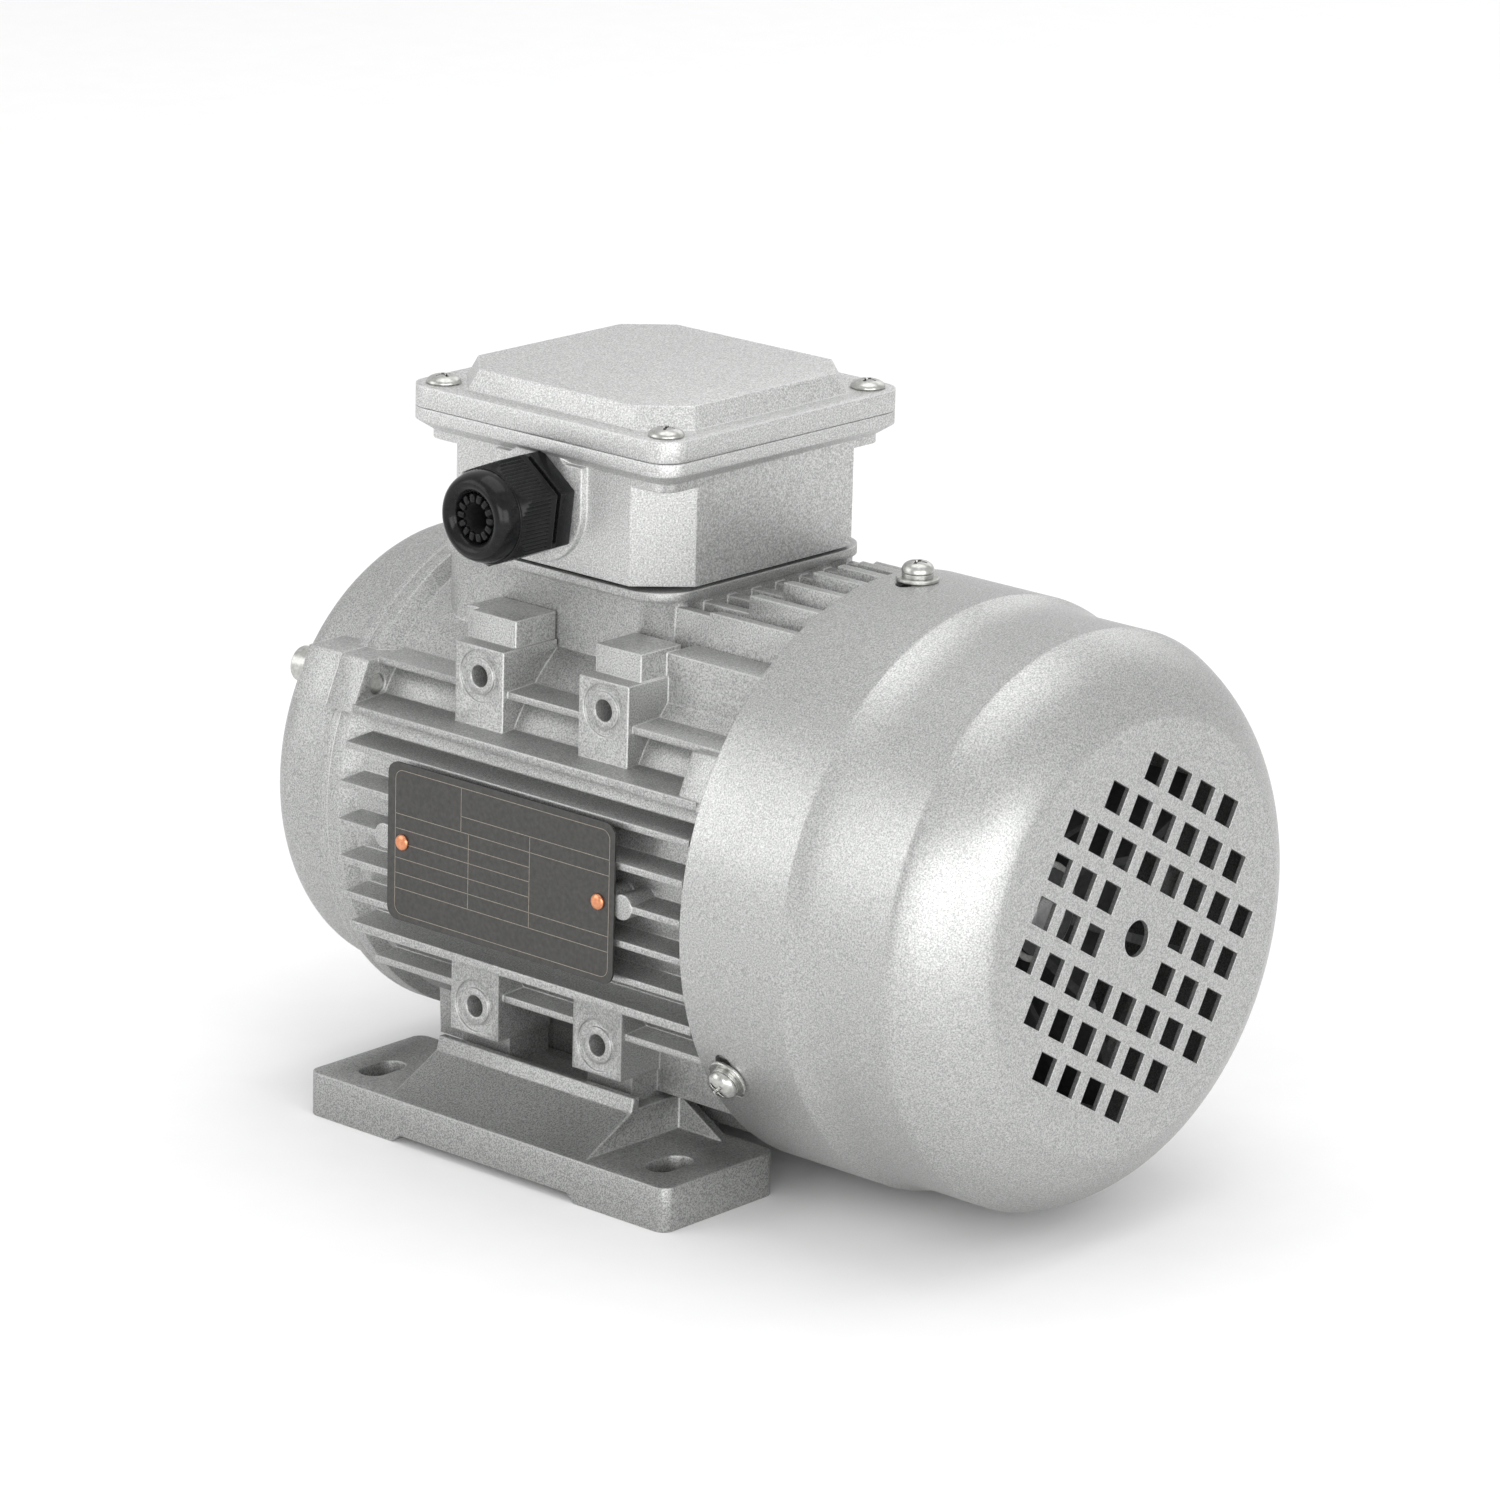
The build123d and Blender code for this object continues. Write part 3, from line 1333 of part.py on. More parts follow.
with BuildPart() as terminal_links:
    with BuildSketch(level(board_top)):
        with Locations((board_x, stud_spacing_y), (board_x, -stud_spacing_y)):
            Rectangle(stud_spacing_x + 8, 6)
        with Locations((board_x, 0)):
            with GridLocations(stud_spacing_x, stud_spacing_y, 2, 3):
                Circle(stud_radius + thread_gap, mode=Mode.SUBTRACT)
    extrude(amount=link_thickness)
save(terminal_links, "terminal_links")

with BuildPart() as terminal_nuts:
    with BuildSketch(level(board_top + link_thickness)):
        with Locations((board_x, 0)):
            with GridLocations(stud_spacing_x, stud_spacing_y, 2, 3):
                RegularPolygon(terminal_nut_flats / 2, 6, major_radius=False)
                Circle(stud_radius + thread_gap, mode=Mode.SUBTRACT)
    extrude(amount=terminal_nut_height)
save(terminal_nuts, "terminal_nuts")

with BuildPart() as board_screws:
    with BuildSketch(level(board_top)):
        with Locations((board_x, 0)):
            with GridLocations(0, 2 * board_pillar_offset, 1, 2):
                Circle(m3_head_radius)
    extrude(amount=m3_head_height)
    with BuildSketch(level(board_top)):
        with Locations((board_x, 0)):
            with GridLocations(0, 2 * board_pillar_offset, 1, 2):
                Circle(m3_radius)
    extrude(amount=-(board_thickness + board_standoff))
save(board_screws, "board_screws")

with BuildPart() as earth_screw:
    with BuildSketch(level(box_floor_top + 1.5)):
        with Locations((earth_x, earth_offset_y)):
            Circle(m4_head_radius)
    extrude(amount=m4_head_height, taper=18)
    with BuildSketch(level(box_floor_top + 1.5)):
        with Locations((earth_x, earth_offset_y)):
            Circle(m4_radius)
    extrude(amount=-2.8)
save(earth_screw, "earth_screw")

# Nameplate and its rivets
plate_face = axial.offset(plate_boss_reach)
with BuildPart() as nameplate:
    with BuildSketch(plate_face):
        with Locations((plate_centre_y, 0)):
            RectangleRounded(plate_length, plate_height, plate_corner)
        with Locations((plate_centre_y, 0)):
            with GridLocations(rivet_span, 0, 2, 1):
                Circle(rivet_shank_radius + seat_gap, mode=Mode.SUBTRACT)
    extrude(amount=plate_thickness)
save(nameplate, "nameplate")

with BuildPart() as nameplate_rivets:
    rivet_face = plate_face.offset(plate_thickness)
    with BuildSketch(rivet_face):
        with Locations((plate_centre_y, 0)):
            with GridLocations(rivet_span, 0, 2, 1):
                Circle(rivet_head_radius)
    extrude(amount=rivet_head_height, taper=25)
    with BuildSketch(rivet_face):
        with Locations((plate_centre_y, 0)):
            with GridLocations(rivet_span, 0, 2, 1):
                Circle(rivet_shank_radius)
    extrude(amount=-(plate_thickness + rivet_shank_length - 0.5))
save(nameplate_rivets, "nameplate_rivets")
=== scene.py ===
import math

import bpy
from mathutils import Matrix, Vector


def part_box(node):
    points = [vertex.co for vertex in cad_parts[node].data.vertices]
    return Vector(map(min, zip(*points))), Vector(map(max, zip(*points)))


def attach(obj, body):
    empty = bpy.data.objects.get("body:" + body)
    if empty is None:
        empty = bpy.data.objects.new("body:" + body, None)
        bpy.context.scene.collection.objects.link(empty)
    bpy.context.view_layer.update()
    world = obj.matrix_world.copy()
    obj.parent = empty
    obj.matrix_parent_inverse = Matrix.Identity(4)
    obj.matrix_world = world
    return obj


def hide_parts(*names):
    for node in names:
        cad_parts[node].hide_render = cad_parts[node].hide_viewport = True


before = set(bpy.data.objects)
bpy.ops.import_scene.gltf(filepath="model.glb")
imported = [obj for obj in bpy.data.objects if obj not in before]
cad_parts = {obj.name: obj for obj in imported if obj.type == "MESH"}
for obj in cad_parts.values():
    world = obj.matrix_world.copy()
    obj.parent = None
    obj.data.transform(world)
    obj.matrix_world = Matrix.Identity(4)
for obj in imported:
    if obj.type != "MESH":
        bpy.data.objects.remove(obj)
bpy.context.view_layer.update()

# The studio: a white world, five soft lamps, and the camera where the photographer stood.
# The camera looks down past the fan cover onto the nameplate side. Its place, tilt and lens
# come from the standard sizes of the feet and the shaft height seen in the picture.
orbit, height_angle, roll = (math.radians(a) for a in (131.18, 16.53, 1.53))
distance, aim = 1.52697, Vector((0, 0, 0.090))
slide_right, slide_up = 0.01257, -0.00399
sensor_width, focal_length = 36, 158.87
back = Vector((
    math.sin(orbit) * math.cos(height_angle),
    -math.cos(orbit) * math.cos(height_angle),
    math.sin(height_angle),
))
level_right = Vector((math.cos(orbit), math.sin(orbit), 0))
level_up = back.cross(level_right)
right = level_right * math.cos(roll) + level_up * math.sin(roll)
up = level_up * math.cos(roll) - level_right * math.sin(roll)
place = aim + right * slide_right + up * slide_up + back * distance
bpy.ops.object.select_all(action="DESELECT")
bpy.ops.object.camera_add(location=place, rotation=Matrix((right, up, back)).transposed().to_euler())
camera = bpy.context.object
camera.name = "camera"
camera.data.sensor_width = sensor_width
camera.data.lens = focal_length
camera.data.clip_end = 20
bpy.context.scene.camera = camera

lamp_aim = Vector((0, 0, 0.08))
for name, spot, size, power in (
    ("window_left", (1.6, -1.2, 0.9), 1.4, 10),
    ("window_front", (1.6, 1.3, 0.4), 1.2, 16),
    ("window_right", (0.5, 2.1, 0.35), 1.2, 16),
    ("ceiling", (-0.2, 0.0, 2.1), 1.8, 14),
    ("rim", (-1.8, -0.4, 1.2), 1.2, 4),
):
    bpy.ops.object.light_add(type="AREA", location=spot)
    lamp = bpy.context.object
    lamp.name = name
    lamp.data.size = size
    lamp.data.energy = power
    lamp.rotation_euler = (Vector(spot) - lamp_aim).to_track_quat("Z", "Y").to_euler()
world = bpy.data.worlds.new("studio_air")
world.use_nodes = True
air = world.node_tree.nodes["Background"]
air.inputs["Color"].default_value = (1, 1, 1, 1)
air.inputs["Strength"].default_value = 0.78
bpy.context.scene.world = world
bpy.context.scene.view_settings.view_transform = "Standard"


def new_node(tree, kind, values=(), **settings):
    """Adds a shader node with its settings, then the values of its inputs."""
    node = tree.nodes.new("ShaderNode" + kind)
    for label, value in settings.items():
        setattr(node, label, value)
    for label, value in dict(values).items():
        node.inputs[label].default_value = value
    return node


def wire(tree, links):
    """Joins each (output, input) pair of sockets."""
    for output, socket in links:
        tree.links.new(output, socket)


# Every finish is mixed from two shared effects: a fine grain, and broad clouds of tone.
# Each finish gives them its own size and strength, in metres of the object itself.
grain = bpy.data.node_groups.new("fine_grain", "ShaderNodeTree")
for label, value in (("Grain scale", 1500), ("Cloud scale", 25), ("Contrast", 1)):
    grain.interface.new_socket(label, in_out="INPUT", socket_type="NodeSocketFloat").default_value = value
for label in ("Grain", "Cloud", "Height"):
    grain.interface.new_socket(label, in_out="OUTPUT", socket_type="NodeSocketFloat")
grain_in, grain_out = grain.nodes.new("NodeGroupInput"), grain.nodes.new("NodeGroupOutput")
where = new_node(grain, "TexCoord")
fleck = new_node(grain, "TexNoise", {"Detail": 1.5, "Roughness": 0.6})
haze = new_node(grain, "TexNoise", {"Detail": 3})
spread = new_node(grain, "Math", {1: 0.5}, operation="SUBTRACT")
gain = new_node(grain, "Math", {2: 0.5}, operation="MULTIPLY_ADD", use_clamp=True)
wire(grain, (
    (where.outputs["Object"], fleck.inputs["Vector"]),
    (where.outputs["Object"], haze.inputs["Vector"]),
    (grain_in.outputs["Grain scale"], fleck.inputs["Scale"]),
    (grain_in.outputs["Cloud scale"], haze.inputs["Scale"]),
    (fleck.outputs["Fac"], spread.inputs[0]),
    (spread.outputs[0], gain.inputs[0]),
    (grain_in.outputs["Contrast"], gain.inputs[1]),
    (gain.outputs[0], grain_out.inputs["Grain"]),
    (haze.outputs["Fac"], grain_out.inputs["Cloud"]),
    (fleck.outputs["Fac"], grain_out.inputs["Height"]),
))


def finish(
    name, dark, light, rough, metallic, scale,
    contrast=2.0, cloud=25, bump=0.1, depth=0.00005, soft=0.0004, wear_and_highlight=0.4, **sockets,
):
    """A surface whose colour runs from dark to light with its grain, and whose edges are painted lighter,
    partly as bare worn metal and partly as a painted highlight.
    """
    skin = bpy.data.materials.new(name)
    skin.use_nodes = True
    tree = skin.node_tree
    shader = tree.nodes["Principled BSDF"]
    grain_values = {"Grain scale": scale, "Cloud scale": cloud, "Contrast": contrast}
    effect = new_node(tree, "Group", grain_values, node_tree=grain)
    tone = new_node(tree, "Mix", {"A": (*dark, 1), "B": (*light, 1)}, data_type="RGBA")
    gloss_values = {"From Min": 0.3, "From Max": 0.7, "To Min": rough[0], "To Max": rough[1]}
    gloss = new_node(tree, "MapRange", gloss_values)
    relief = new_node(tree, "Bump", {"Strength": bump, "Distance": depth})
    edge = new_node(tree, "Bevel", {"Radius": soft}, samples=4)
    true_face = new_node(tree, "NewGeometry")
    turned_away = new_node(tree, "VectorMath", operation="DOT_PRODUCT")
    # The edge mask lightens the colour at edges: partly wear to bare metal, partly a painted highlight where
    # edges catch the light.
    edge_wear_and_highlight = new_node(tree, "MapRange", {"From Min": 0.995, "From Max": 0.88, "To Max": wear_and_highlight})
    fade = new_node(tree, "MapRange", {"From Min": 0.35, "From Max": 0.60, "To Min": 0.5})
    patchy_wear_and_highlight = new_node(tree, "Math", operation="MULTIPLY")
    # The lighter edge tone stands for bare worn metal and for a painted highlight together.
    bare_and_highlit_tone = (*[min(0.95, c * 1.35 + 0.02) for c in light], 1)
    bare_and_highlit = new_node(tree, "Mix", {"B": bare_and_highlit_tone}, data_type="RGBA")
    wire(tree, (
        (edge.outputs["Normal"], turned_away.inputs[0]),
        (true_face.outputs["Normal"], turned_away.inputs[1]),
        (turned_away.outputs["Value"], edge_wear_and_highlight.inputs["Value"]),
        (edge_wear_and_highlight.outputs["Result"], patchy_wear_and_highlight.inputs[0]),
        (fade.outputs["Result"], patchy_wear_and_highlight.inputs[1]),
        (effect.outputs["Cloud"], fade.inputs["Value"]),
        (patchy_wear_and_highlight.outputs[0], bare_and_highlit.inputs["Factor"]),
        (tone.outputs["Result"], bare_and_highlit.inputs["A"]),
        (effect.outputs["Grain"], tone.inputs["Factor"]),
        (bare_and_highlit.outputs["Result"], shader.inputs["Base Color"]),
        (effect.outputs["Cloud"], gloss.inputs["Value"]),
        (gloss.outputs["Result"], shader.inputs["Roughness"]),
        (effect.outputs["Height"], relief.inputs["Height"]),
        (edge.outputs["Normal"], relief.inputs["Normal"]),
        (relief.outputs["Normal"], shader.inputs["Normal"]),
    ))
    shader.inputs["Metallic"].default_value = metallic
    for label, value in sockets.items():
        shader.inputs[label.replace("_", " ")].default_value = value
    return skin


def coat(skin, *nodes):
    """Gives these solids of the model their finish."""
    for node in nodes:
        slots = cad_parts[node].data.materials
        slots.clear()
        slots.append(skin)


def dress(piece, skin, body, slot, *nodes):
    """Finishes a new piece and fixes it to its body, in place of the solids that it stands for."""
    piece.data.materials.clear()
    piece.data.materials.append(skin)
    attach(piece, body)
    if nodes:
        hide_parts(*nodes)
    return piece


def shade(angle):
    """Smooths the active piece, apart from edges sharper than this angle."""
    bpy.ops.object.shade_smooth_by_angle(angle=math.radians(angle))


def select_only(*pieces):
    """Makes these the selected objects, the first of them active."""
    bpy.ops.object.select_all(action="DESELECT")
    for piece in pieces:
        piece.select_set(True)
    bpy.context.view_layer.objects.active = pieces[0]


def rounded_copy(node, name, width):
    """A copy of a solid, with its sharp edges broken as casting or tumbling does."""
    sharp = 35
    piece = bpy.data.objects.new(name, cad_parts[node].data.copy())
    bpy.context.scene.collection.objects.link(piece)
    select_only(piece)
    bpy.ops.object.mode_set(mode="EDIT")
    bpy.ops.mesh.select_all(action="SELECT")
    bpy.ops.mesh.remove_doubles(threshold=0.000002)
    bpy.ops.mesh.dissolve_limited(angle_limit=math.radians(0.5))
    bpy.ops.object.mode_set(mode="OBJECT")
    bevel = piece.modifiers.new("broken_edges", "BEVEL")
    bevel.width = width
    bevel.segments = 2
    bevel.limit_method = "ANGLE"
    bevel.angle_limit = math.radians(sharp)
    bpy.ops.object.modifier_apply(modifier=bevel.name)
    shade(sharp)
    return piece


def block(spot, size, rotation=(0, 0, 0)):
    """A box of this size about a spot."""
    bpy.ops.mesh.primitive_cube_add(size=1, location=spot, rotation=rotation, scale=size)
    return bpy.context.object


def joined(name, pieces):
    """One object made of all the pieces, with its place in its vertices."""
    select_only(*pieces)
    if len(pieces) > 1:
        bpy.ops.object.join()
    bpy.ops.object.transform_apply()
    bpy.context.object.name = name
    return bpy.context.object


def turned(name, outline, steps):
    """A shape turned about Z from (radius, height) points."""
    bpy.ops.object.select_all(action="DESELECT")
    bpy.ops.mesh.primitive_plane_add(size=0.001, location=(outline[0][0], 0, outline[0][1]))
    bpy.ops.object.transform_apply()
    bpy.ops.object.mode_set(mode="EDIT")
    bpy.ops.mesh.select_all(action="SELECT")
    bpy.ops.mesh.merge(type="CENTER")
    for (r0, z0), (r1, z1) in zip(outline, outline[1:]):
        bpy.ops.mesh.extrude_vertices_move(TRANSFORM_OT_translate={"value": (r1 - r0, 0, z1 - z0)})
    bpy.ops.mesh.select_all(action="SELECT")
    bpy.ops.mesh.spin(steps=steps, angle=2 * math.pi, center=(0, 0, 0), axis=(0, 0, 1))
    bpy.ops.mesh.select_all(action="SELECT")
    bpy.ops.mesh.remove_doubles(threshold=0.000005)
    bpy.ops.mesh.normals_make_consistent(inside=False)
    bpy.ops.object.mode_set(mode="OBJECT")
    bpy.context.object.name = name
    return bpy.context.object


def cut(piece, tool, way="DIFFERENCE"):
    """Takes one solid out of another, or keeps what they share."""
    bite = piece.modifiers.new("cut", "BOOLEAN")
    bite.operation = way
    bite.object = tool
    bite.solver = "EXACT"
    select_only(piece)
    bpy.ops.object.modifier_apply(modifier=bite.name)
    bpy.data.objects.remove(tool)


def bezier(points, count):
    """Points along a Bezier curve, without its first point."""
    run = []
    for step in range(1, count + 1):
        t = step / count
        level = [Vector(p) for p in points]
        while len(level) > 1:
            level = [a.lerp(b, t) for a, b in zip(level, level[1:])]
        run.append(tuple(level[0]))
    return run


# The stator frame: one aluminium casting with side fins, top and bottom fins, eight bosses
# and the pad for the terminal box. It is blasted clean and sprayed with a silver paint whose
# metal flakes give it a fine sparkle.
flake_scale = 2900
alloy = finish(
    "silver_spray", (0.27, 0.275, 0.27), (0.55, 0.555, 0.545), (0.40, 0.52), 0.80, flake_scale,
    contrast=3.4, bump=0.35, depth=0.00004, soft=0.0006, wear_and_highlight=0.85,
)
dress(rounded_copy("housing", "frame_casting", 0.0003), alloy, "stator", "sprayed_alloy", "housing")

# The two end shields: alloy castings that carry the bearings, sprayed with the frame.
for node, edge_width in (("drive_shield", 0.0004), ("fan_shield", 0.0003)):
    dress(rounded_copy(node, node + "_casting", edge_width), alloy, "stator", "sprayed_alloy", node)

# The feet: two mirrored castings, slotted for the bench bolts and screwed up into the frame.
# Their paint is the frame's silver spray made darker, a painted shade for the shadow that the body casts on
# them.
# Painted shade: the same silver spray as the frame, darkened.
shaded_foot_paint = finish(
    "silver_spray_feet_painted_shade", (0.22, 0.225, 0.22), (0.47, 0.475, 0.465), (0.40, 0.52), 0.80, flake_scale,
    contrast=3.4, bump=0.35, depth=0.00004, soft=0.0006, wear_and_highlight=0.85,
)
for node in ("foot_left", "foot_right"):
    dress(rounded_copy(node, node + "_casting", 0.0005), shaded_foot_paint, "stator", "sprayed_alloy", node)

# The terminal box and its lid: castings with cut corners, the lid with a raised panel. Their paint is the
# frame's silver spray made lighter, painted light for the light that falls on them.
# Painted light: the same silver spray as the frame, lightened.
lit_box_paint = finish(
    "silver_spray_box_painted_light", (0.38, 0.385, 0.38), (0.74, 0.745, 0.735), (0.46, 0.56), 0.78, flake_scale,
    contrast=3.0, bump=0.30, depth=0.00004, soft=0.0006, wear_and_highlight=0.7,
)
dress(rounded_copy("terminal_box", "box_casting", 0.0005), lit_box_paint, "stator", "sprayed_alloy", "terminal_box")
dress(rounded_copy("box_lid", "lid_casting", 0.0006), lit_box_paint, "stator", "sprayed_alloy", "box_lid")

# The fan cover: deep-drawn sheet steel with a soft step behind the rim, a rounded nose and a
# punched grille of square holes. Three slots in its rim let it slide over the screws. An extra
# loop beside each bend keeps the long walls flat up to it.
axis_height = 0.071
rim_y, shoulder_y, neck_y, bend_y, nose_y = 0.0575, 0.0865, 0.0985, 0.1143, 0.1308
rim_radius, neck_radius, face_radius, sheet = 0.0683, 0.0662, 0.0497, 0.0012
loop_gap = 0.0008
shoulder_curve = (
    (rim_radius, shoulder_y), (rim_radius, shoulder_y + 0.0008),
    (neck_radius, neck_y - 0.0080), (neck_radius, neck_y),
)
nose_pull = (face_radius + 0.685 * (neck_radius - face_radius), bend_y + 0.73 * (nose_y - bend_y))
profile = [
    (rim_radius, rim_y), (rim_radius, rim_y + 0.001), (rim_radius, 0.070),
    (rim_radius, shoulder_y - loop_gap), (rim_radius, shoulder_y),
]
profile += bezier(shoulder_curve, 10)
profile += [(neck_radius, neck_y + 0.001), (neck_radius, bend_y - loop_gap), (neck_radius, bend_y)]
profile += bezier(((neck_radius, bend_y), nose_pull, (face_radius, nose_y)), 14)
profile += [(face_radius - 0.0006, nose_y), (0.040, nose_y), (0, nose_y)]
cover = turned("fan_cover_sheet", profile, 160)
cover.location = (0, 0, axis_height)
cover.rotation_euler = (-math.pi / 2, 0, 0)
bpy.ops.object.transform_apply()
wall = cover.modifiers.new("sheet", "SOLIDIFY")
wall.thickness = sheet
wall.offset = -1
wall.use_even_offset = True
bpy.ops.object.modifier_apply(modifier=wall.name)
grille_rows, grille_pitch, grille_hole, grille_turn = (4, 6, 8, 8, 8, 8, 6, 4), 0.010, 0.0064, math.radians(30)
centre_hole_radius, punch_depth = 0.0042, 0.006
punches = []
for row, count in enumerate(grille_rows):
    for column in range(count):
        along = (column - (count - 1) / 2) * grille_pitch
        rise = (3.5 - row) * grille_pitch
        if max(abs(along), abs(rise)) > grille_pitch:
            x = along * math.cos(grille_turn) - rise * math.sin(grille_turn)
            z = along * math.sin(grille_turn) + rise * math.cos(grille_turn)
            punch_size = (grille_hole, punch_depth, grille_hole)
            punches.append(block((x, nose_y, axis_height + z), punch_size, (0, -grille_turn, 0)))
bpy.ops.mesh.primitive_cylinder_add(
    vertices=40, radius=centre_hole_radius, depth=punch_depth,
    location=(0, nose_y, axis_height), rotation=(math.pi / 2, 0, 0),
)
punches.append(bpy.context.object)
cover_screw_y, slot_radius, slot_stretch = 0.065, 0.0022, 0.0043
cover_screw_ways = [Vector((math.cos(a), 0, math.sin(a))) for a in (math.radians(d) for d in (90, 210, 330))]
for out in cover_screw_ways:
    bpy.ops.mesh.primitive_cylinder_add(
        vertices=32, radius=slot_radius, depth=0.010, rotation=out.to_track_quat("Z", "Y").to_euler(),
        location=Vector((0, cover_screw_y, axis_height)) + out * 0.068,
    )
    slot_punch = bpy.context.object
    bpy.context.view_layer.update()
    side = slot_punch.matrix_world.to_3x3().inverted() @ out.cross(Vector((0, 1, 0)))
    for vert in slot_punch.data.vertices:
        vert.co += side * (slot_stretch if vert.co.dot(side) > 0 else -slot_stretch)
    punches.append(slot_punch)
cut(cover, joined("punches", punches))
shade(30)
cover_paint = finish(
    "silver_spray_sheet", (0.31, 0.315, 0.31), (0.58, 0.585, 0.575), (0.36, 0.46), 0.84, flake_scale,
    contrast=3.2, bump=0.20, depth=0.00003, soft=0.0003, wear_and_highlight=0.5,
)
dress(cover, cover_paint, "stator", "sprayed_sheet", "fan_cover")

# The fan cover's screws: three zinc-plated pan head screws with a cross recess, each on a
# split spring washer and a flat washer.
zinc = finish(
    "bright_zinc", (0.40, 0.40, 0.385), (0.60, 0.60, 0.58), (0.22, 0.36), 1.0, 1200, bump=0.12, soft=0.0003
)


def cross_screw(name, radius, rise, fullness, shank):
    """A domed head with a cross recess, standing on z = 0, and its shank below."""
    shank_radius, rim_rise, dome_steps = 0.0019, 0.0003, 12
    dome = [(0, -shank), (shank_radius, -shank), (shank_radius, 0), (radius - 0.0002, 0), (radius, rim_rise)]
    for step in range(1, dome_steps + 1):
        turn = math.radians(90 * step / dome_steps)
        dome.append((radius * math.cos(turn) ** fullness, rim_rise + (rise - rim_rise) * math.sin(turn)))
    dome[-1] = (0, rise)
    screw = turned(name, dome, 40)
    for angle in (0, 90):
        cut(screw, block((0, 0, rise), (0.0042, 0.0008, 0.0026), (0, 0, math.radians(angle))))
    bpy.ops.mesh.primitive_cone_add(
        vertices=4, radius1=0.0004, radius2=0.0013, depth=0.0022, location=(0, 0, rise - 0.0007)
    )
    cut(screw, bpy.context.object)
    shade(35)
    return screw


def set_out(name, sample, places):
    """Copies a piece to each (spot, outward direction, turn) and joins the copies."""
    copies = []
    for spot, out, turn in places:
        select_only(sample)
        bpy.ops.object.duplicate()
        copy = bpy.context.object
        copy.location = spot
        own_turn = Matrix.Rotation(turn, 3, "Z").to_quaternion()
        copy.rotation_euler = (out.to_track_quat("Z", "Y") @ own_turn).to_euler()
        copies.append(copy)
    bpy.data.objects.remove(sample)
    return joined(name, copies)


def cover_places(radius, turns=(0.3, 1.1, 0.7)):
    """The three screw places on the fan cover, at a distance from the shaft."""
    middle = Vector((0, cover_screw_y, axis_height))
    return [(middle + out * radius, out, turn) for out, turn in zip(cover_screw_ways, turns)]


washer_hole, washer_radius, washer_sheet, washer_edge = 0.0022, 0.0049, 0.0009, 0.0002
washer = turned("washer", [
    (washer_hole, 0), (washer_radius - washer_edge, 0), (washer_radius, washer_edge),
    (washer_radius, washer_sheet - washer_edge), (washer_radius - washer_edge, washer_sheet),
    (washer_hole, washer_sheet), (washer_hole, 0),
], 40)
shade(35)
washers = set_out("cover_flat_washers", washer, cover_places(rim_radius))
dress(washers, zinc, "stator", "zinc_steel", "cover_washers")
bpy.ops.object.select_all(action="DESELECT")
bpy.ops.mesh.primitive_plane_add(size=0.001, location=(0.0029, 0, 0.0005), rotation=(math.pi / 2, 0, 0))
spring = bpy.context.object
spring.scale = (1.4, 0.95, 1)
bpy.ops.object.transform_apply()
bpy.ops.object.mode_set(mode="EDIT")
bpy.ops.mesh.select_all(action="SELECT")
bpy.ops.mesh.spin(steps=40, angle=math.radians(346), center=(0, 0, 0), axis=(0, 0, 1))
bpy.ops.mesh.select_all(action="SELECT")
bpy.ops.mesh.fill_holes(sides=4)
bpy.ops.mesh.normals_make_consistent(inside=False)
bpy.ops.object.mode_set(mode="OBJECT")
shade(35)
spring_seat, screw_seat = 0.0009, 0.0019
springs = set_out("split_spring_washers", spring, cover_places(rim_radius + spring_seat, (5.2, 4.4, 3.9)))
dress(springs, zinc, "stator", "zinc_steel", "cover_spring_washers")
pan_head = cross_screw("pan_head_screw", 0.0037, 0.0026, 0.62, 0.0066)
screws = set_out("cover_pan_screws", pan_head, cover_places(rim_radius + screw_seat))
dress(screws, zinc, "stator", "zinc_steel", "cover_screws")

# The lid screws: four zinc-plated screws with wide, low domed heads and a cross recess.
seat_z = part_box("lid_screws")[1].z - 0.0026
low_head = cross_screw("truss_head_screw", 0.0041, 0.0021, 1.0, 0.0110)
box_y, lid_reach = -0.0146, 0.0343
lid_places = [
    (Vector((x * lid_reach, box_y + y * lid_reach, seat_z)), Vector((0, 0, 1)), turn)
    for x, y, turn in ((1, 1, 0.5), (1, -1, 1.2), (-1, 1, 0.2), (-1, -1, 0.9))
]
dress(set_out("lid_domed_screws", low_head, lid_places), zinc, "stator", "zinc_steel", "lid_screws")

# The nameplate: thin anodised aluminium, almost black, with pale engraved rules and no
# lettering. Two copper rivets hold it to bosses on the middle fin.
plate_skin = finish(
    "dark_anodised", (0.060, 0.060, 0.058), (0.090, 0.088, 0.085), (0.28, 0.40), 0.75, 900,
    contrast=1.6, bump=0.08, depth=0.00002, soft=0.0002,
)
coat(plate_skin, "nameplate")
rule_skin = finish(
    "engraved_rule", (0.26, 0.23, 0.19), (0.38, 0.34, 0.29), (0.35, 0.45), 0.8, 1200, soft=0.00005
)
plate_low, plate_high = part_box("nameplate")
plate_y = (plate_low.y + plate_high.y) / 2 + 0.0002


def rule(start, stop):
    """A hair-thin raised bar on the plate between two (along, up) points."""
    width, relief = 0.00014, 0.00006
    run = Vector(stop) - Vector(start)
    centre = (Vector(start) + Vector(stop)) / 2
    return block(
        (plate_high.x, plate_y + centre.x, axis_height + centre.y),
        (relief, run.length + width * 0.6, width),
        (math.atan2(run.y, run.x), 0, 0),
    )


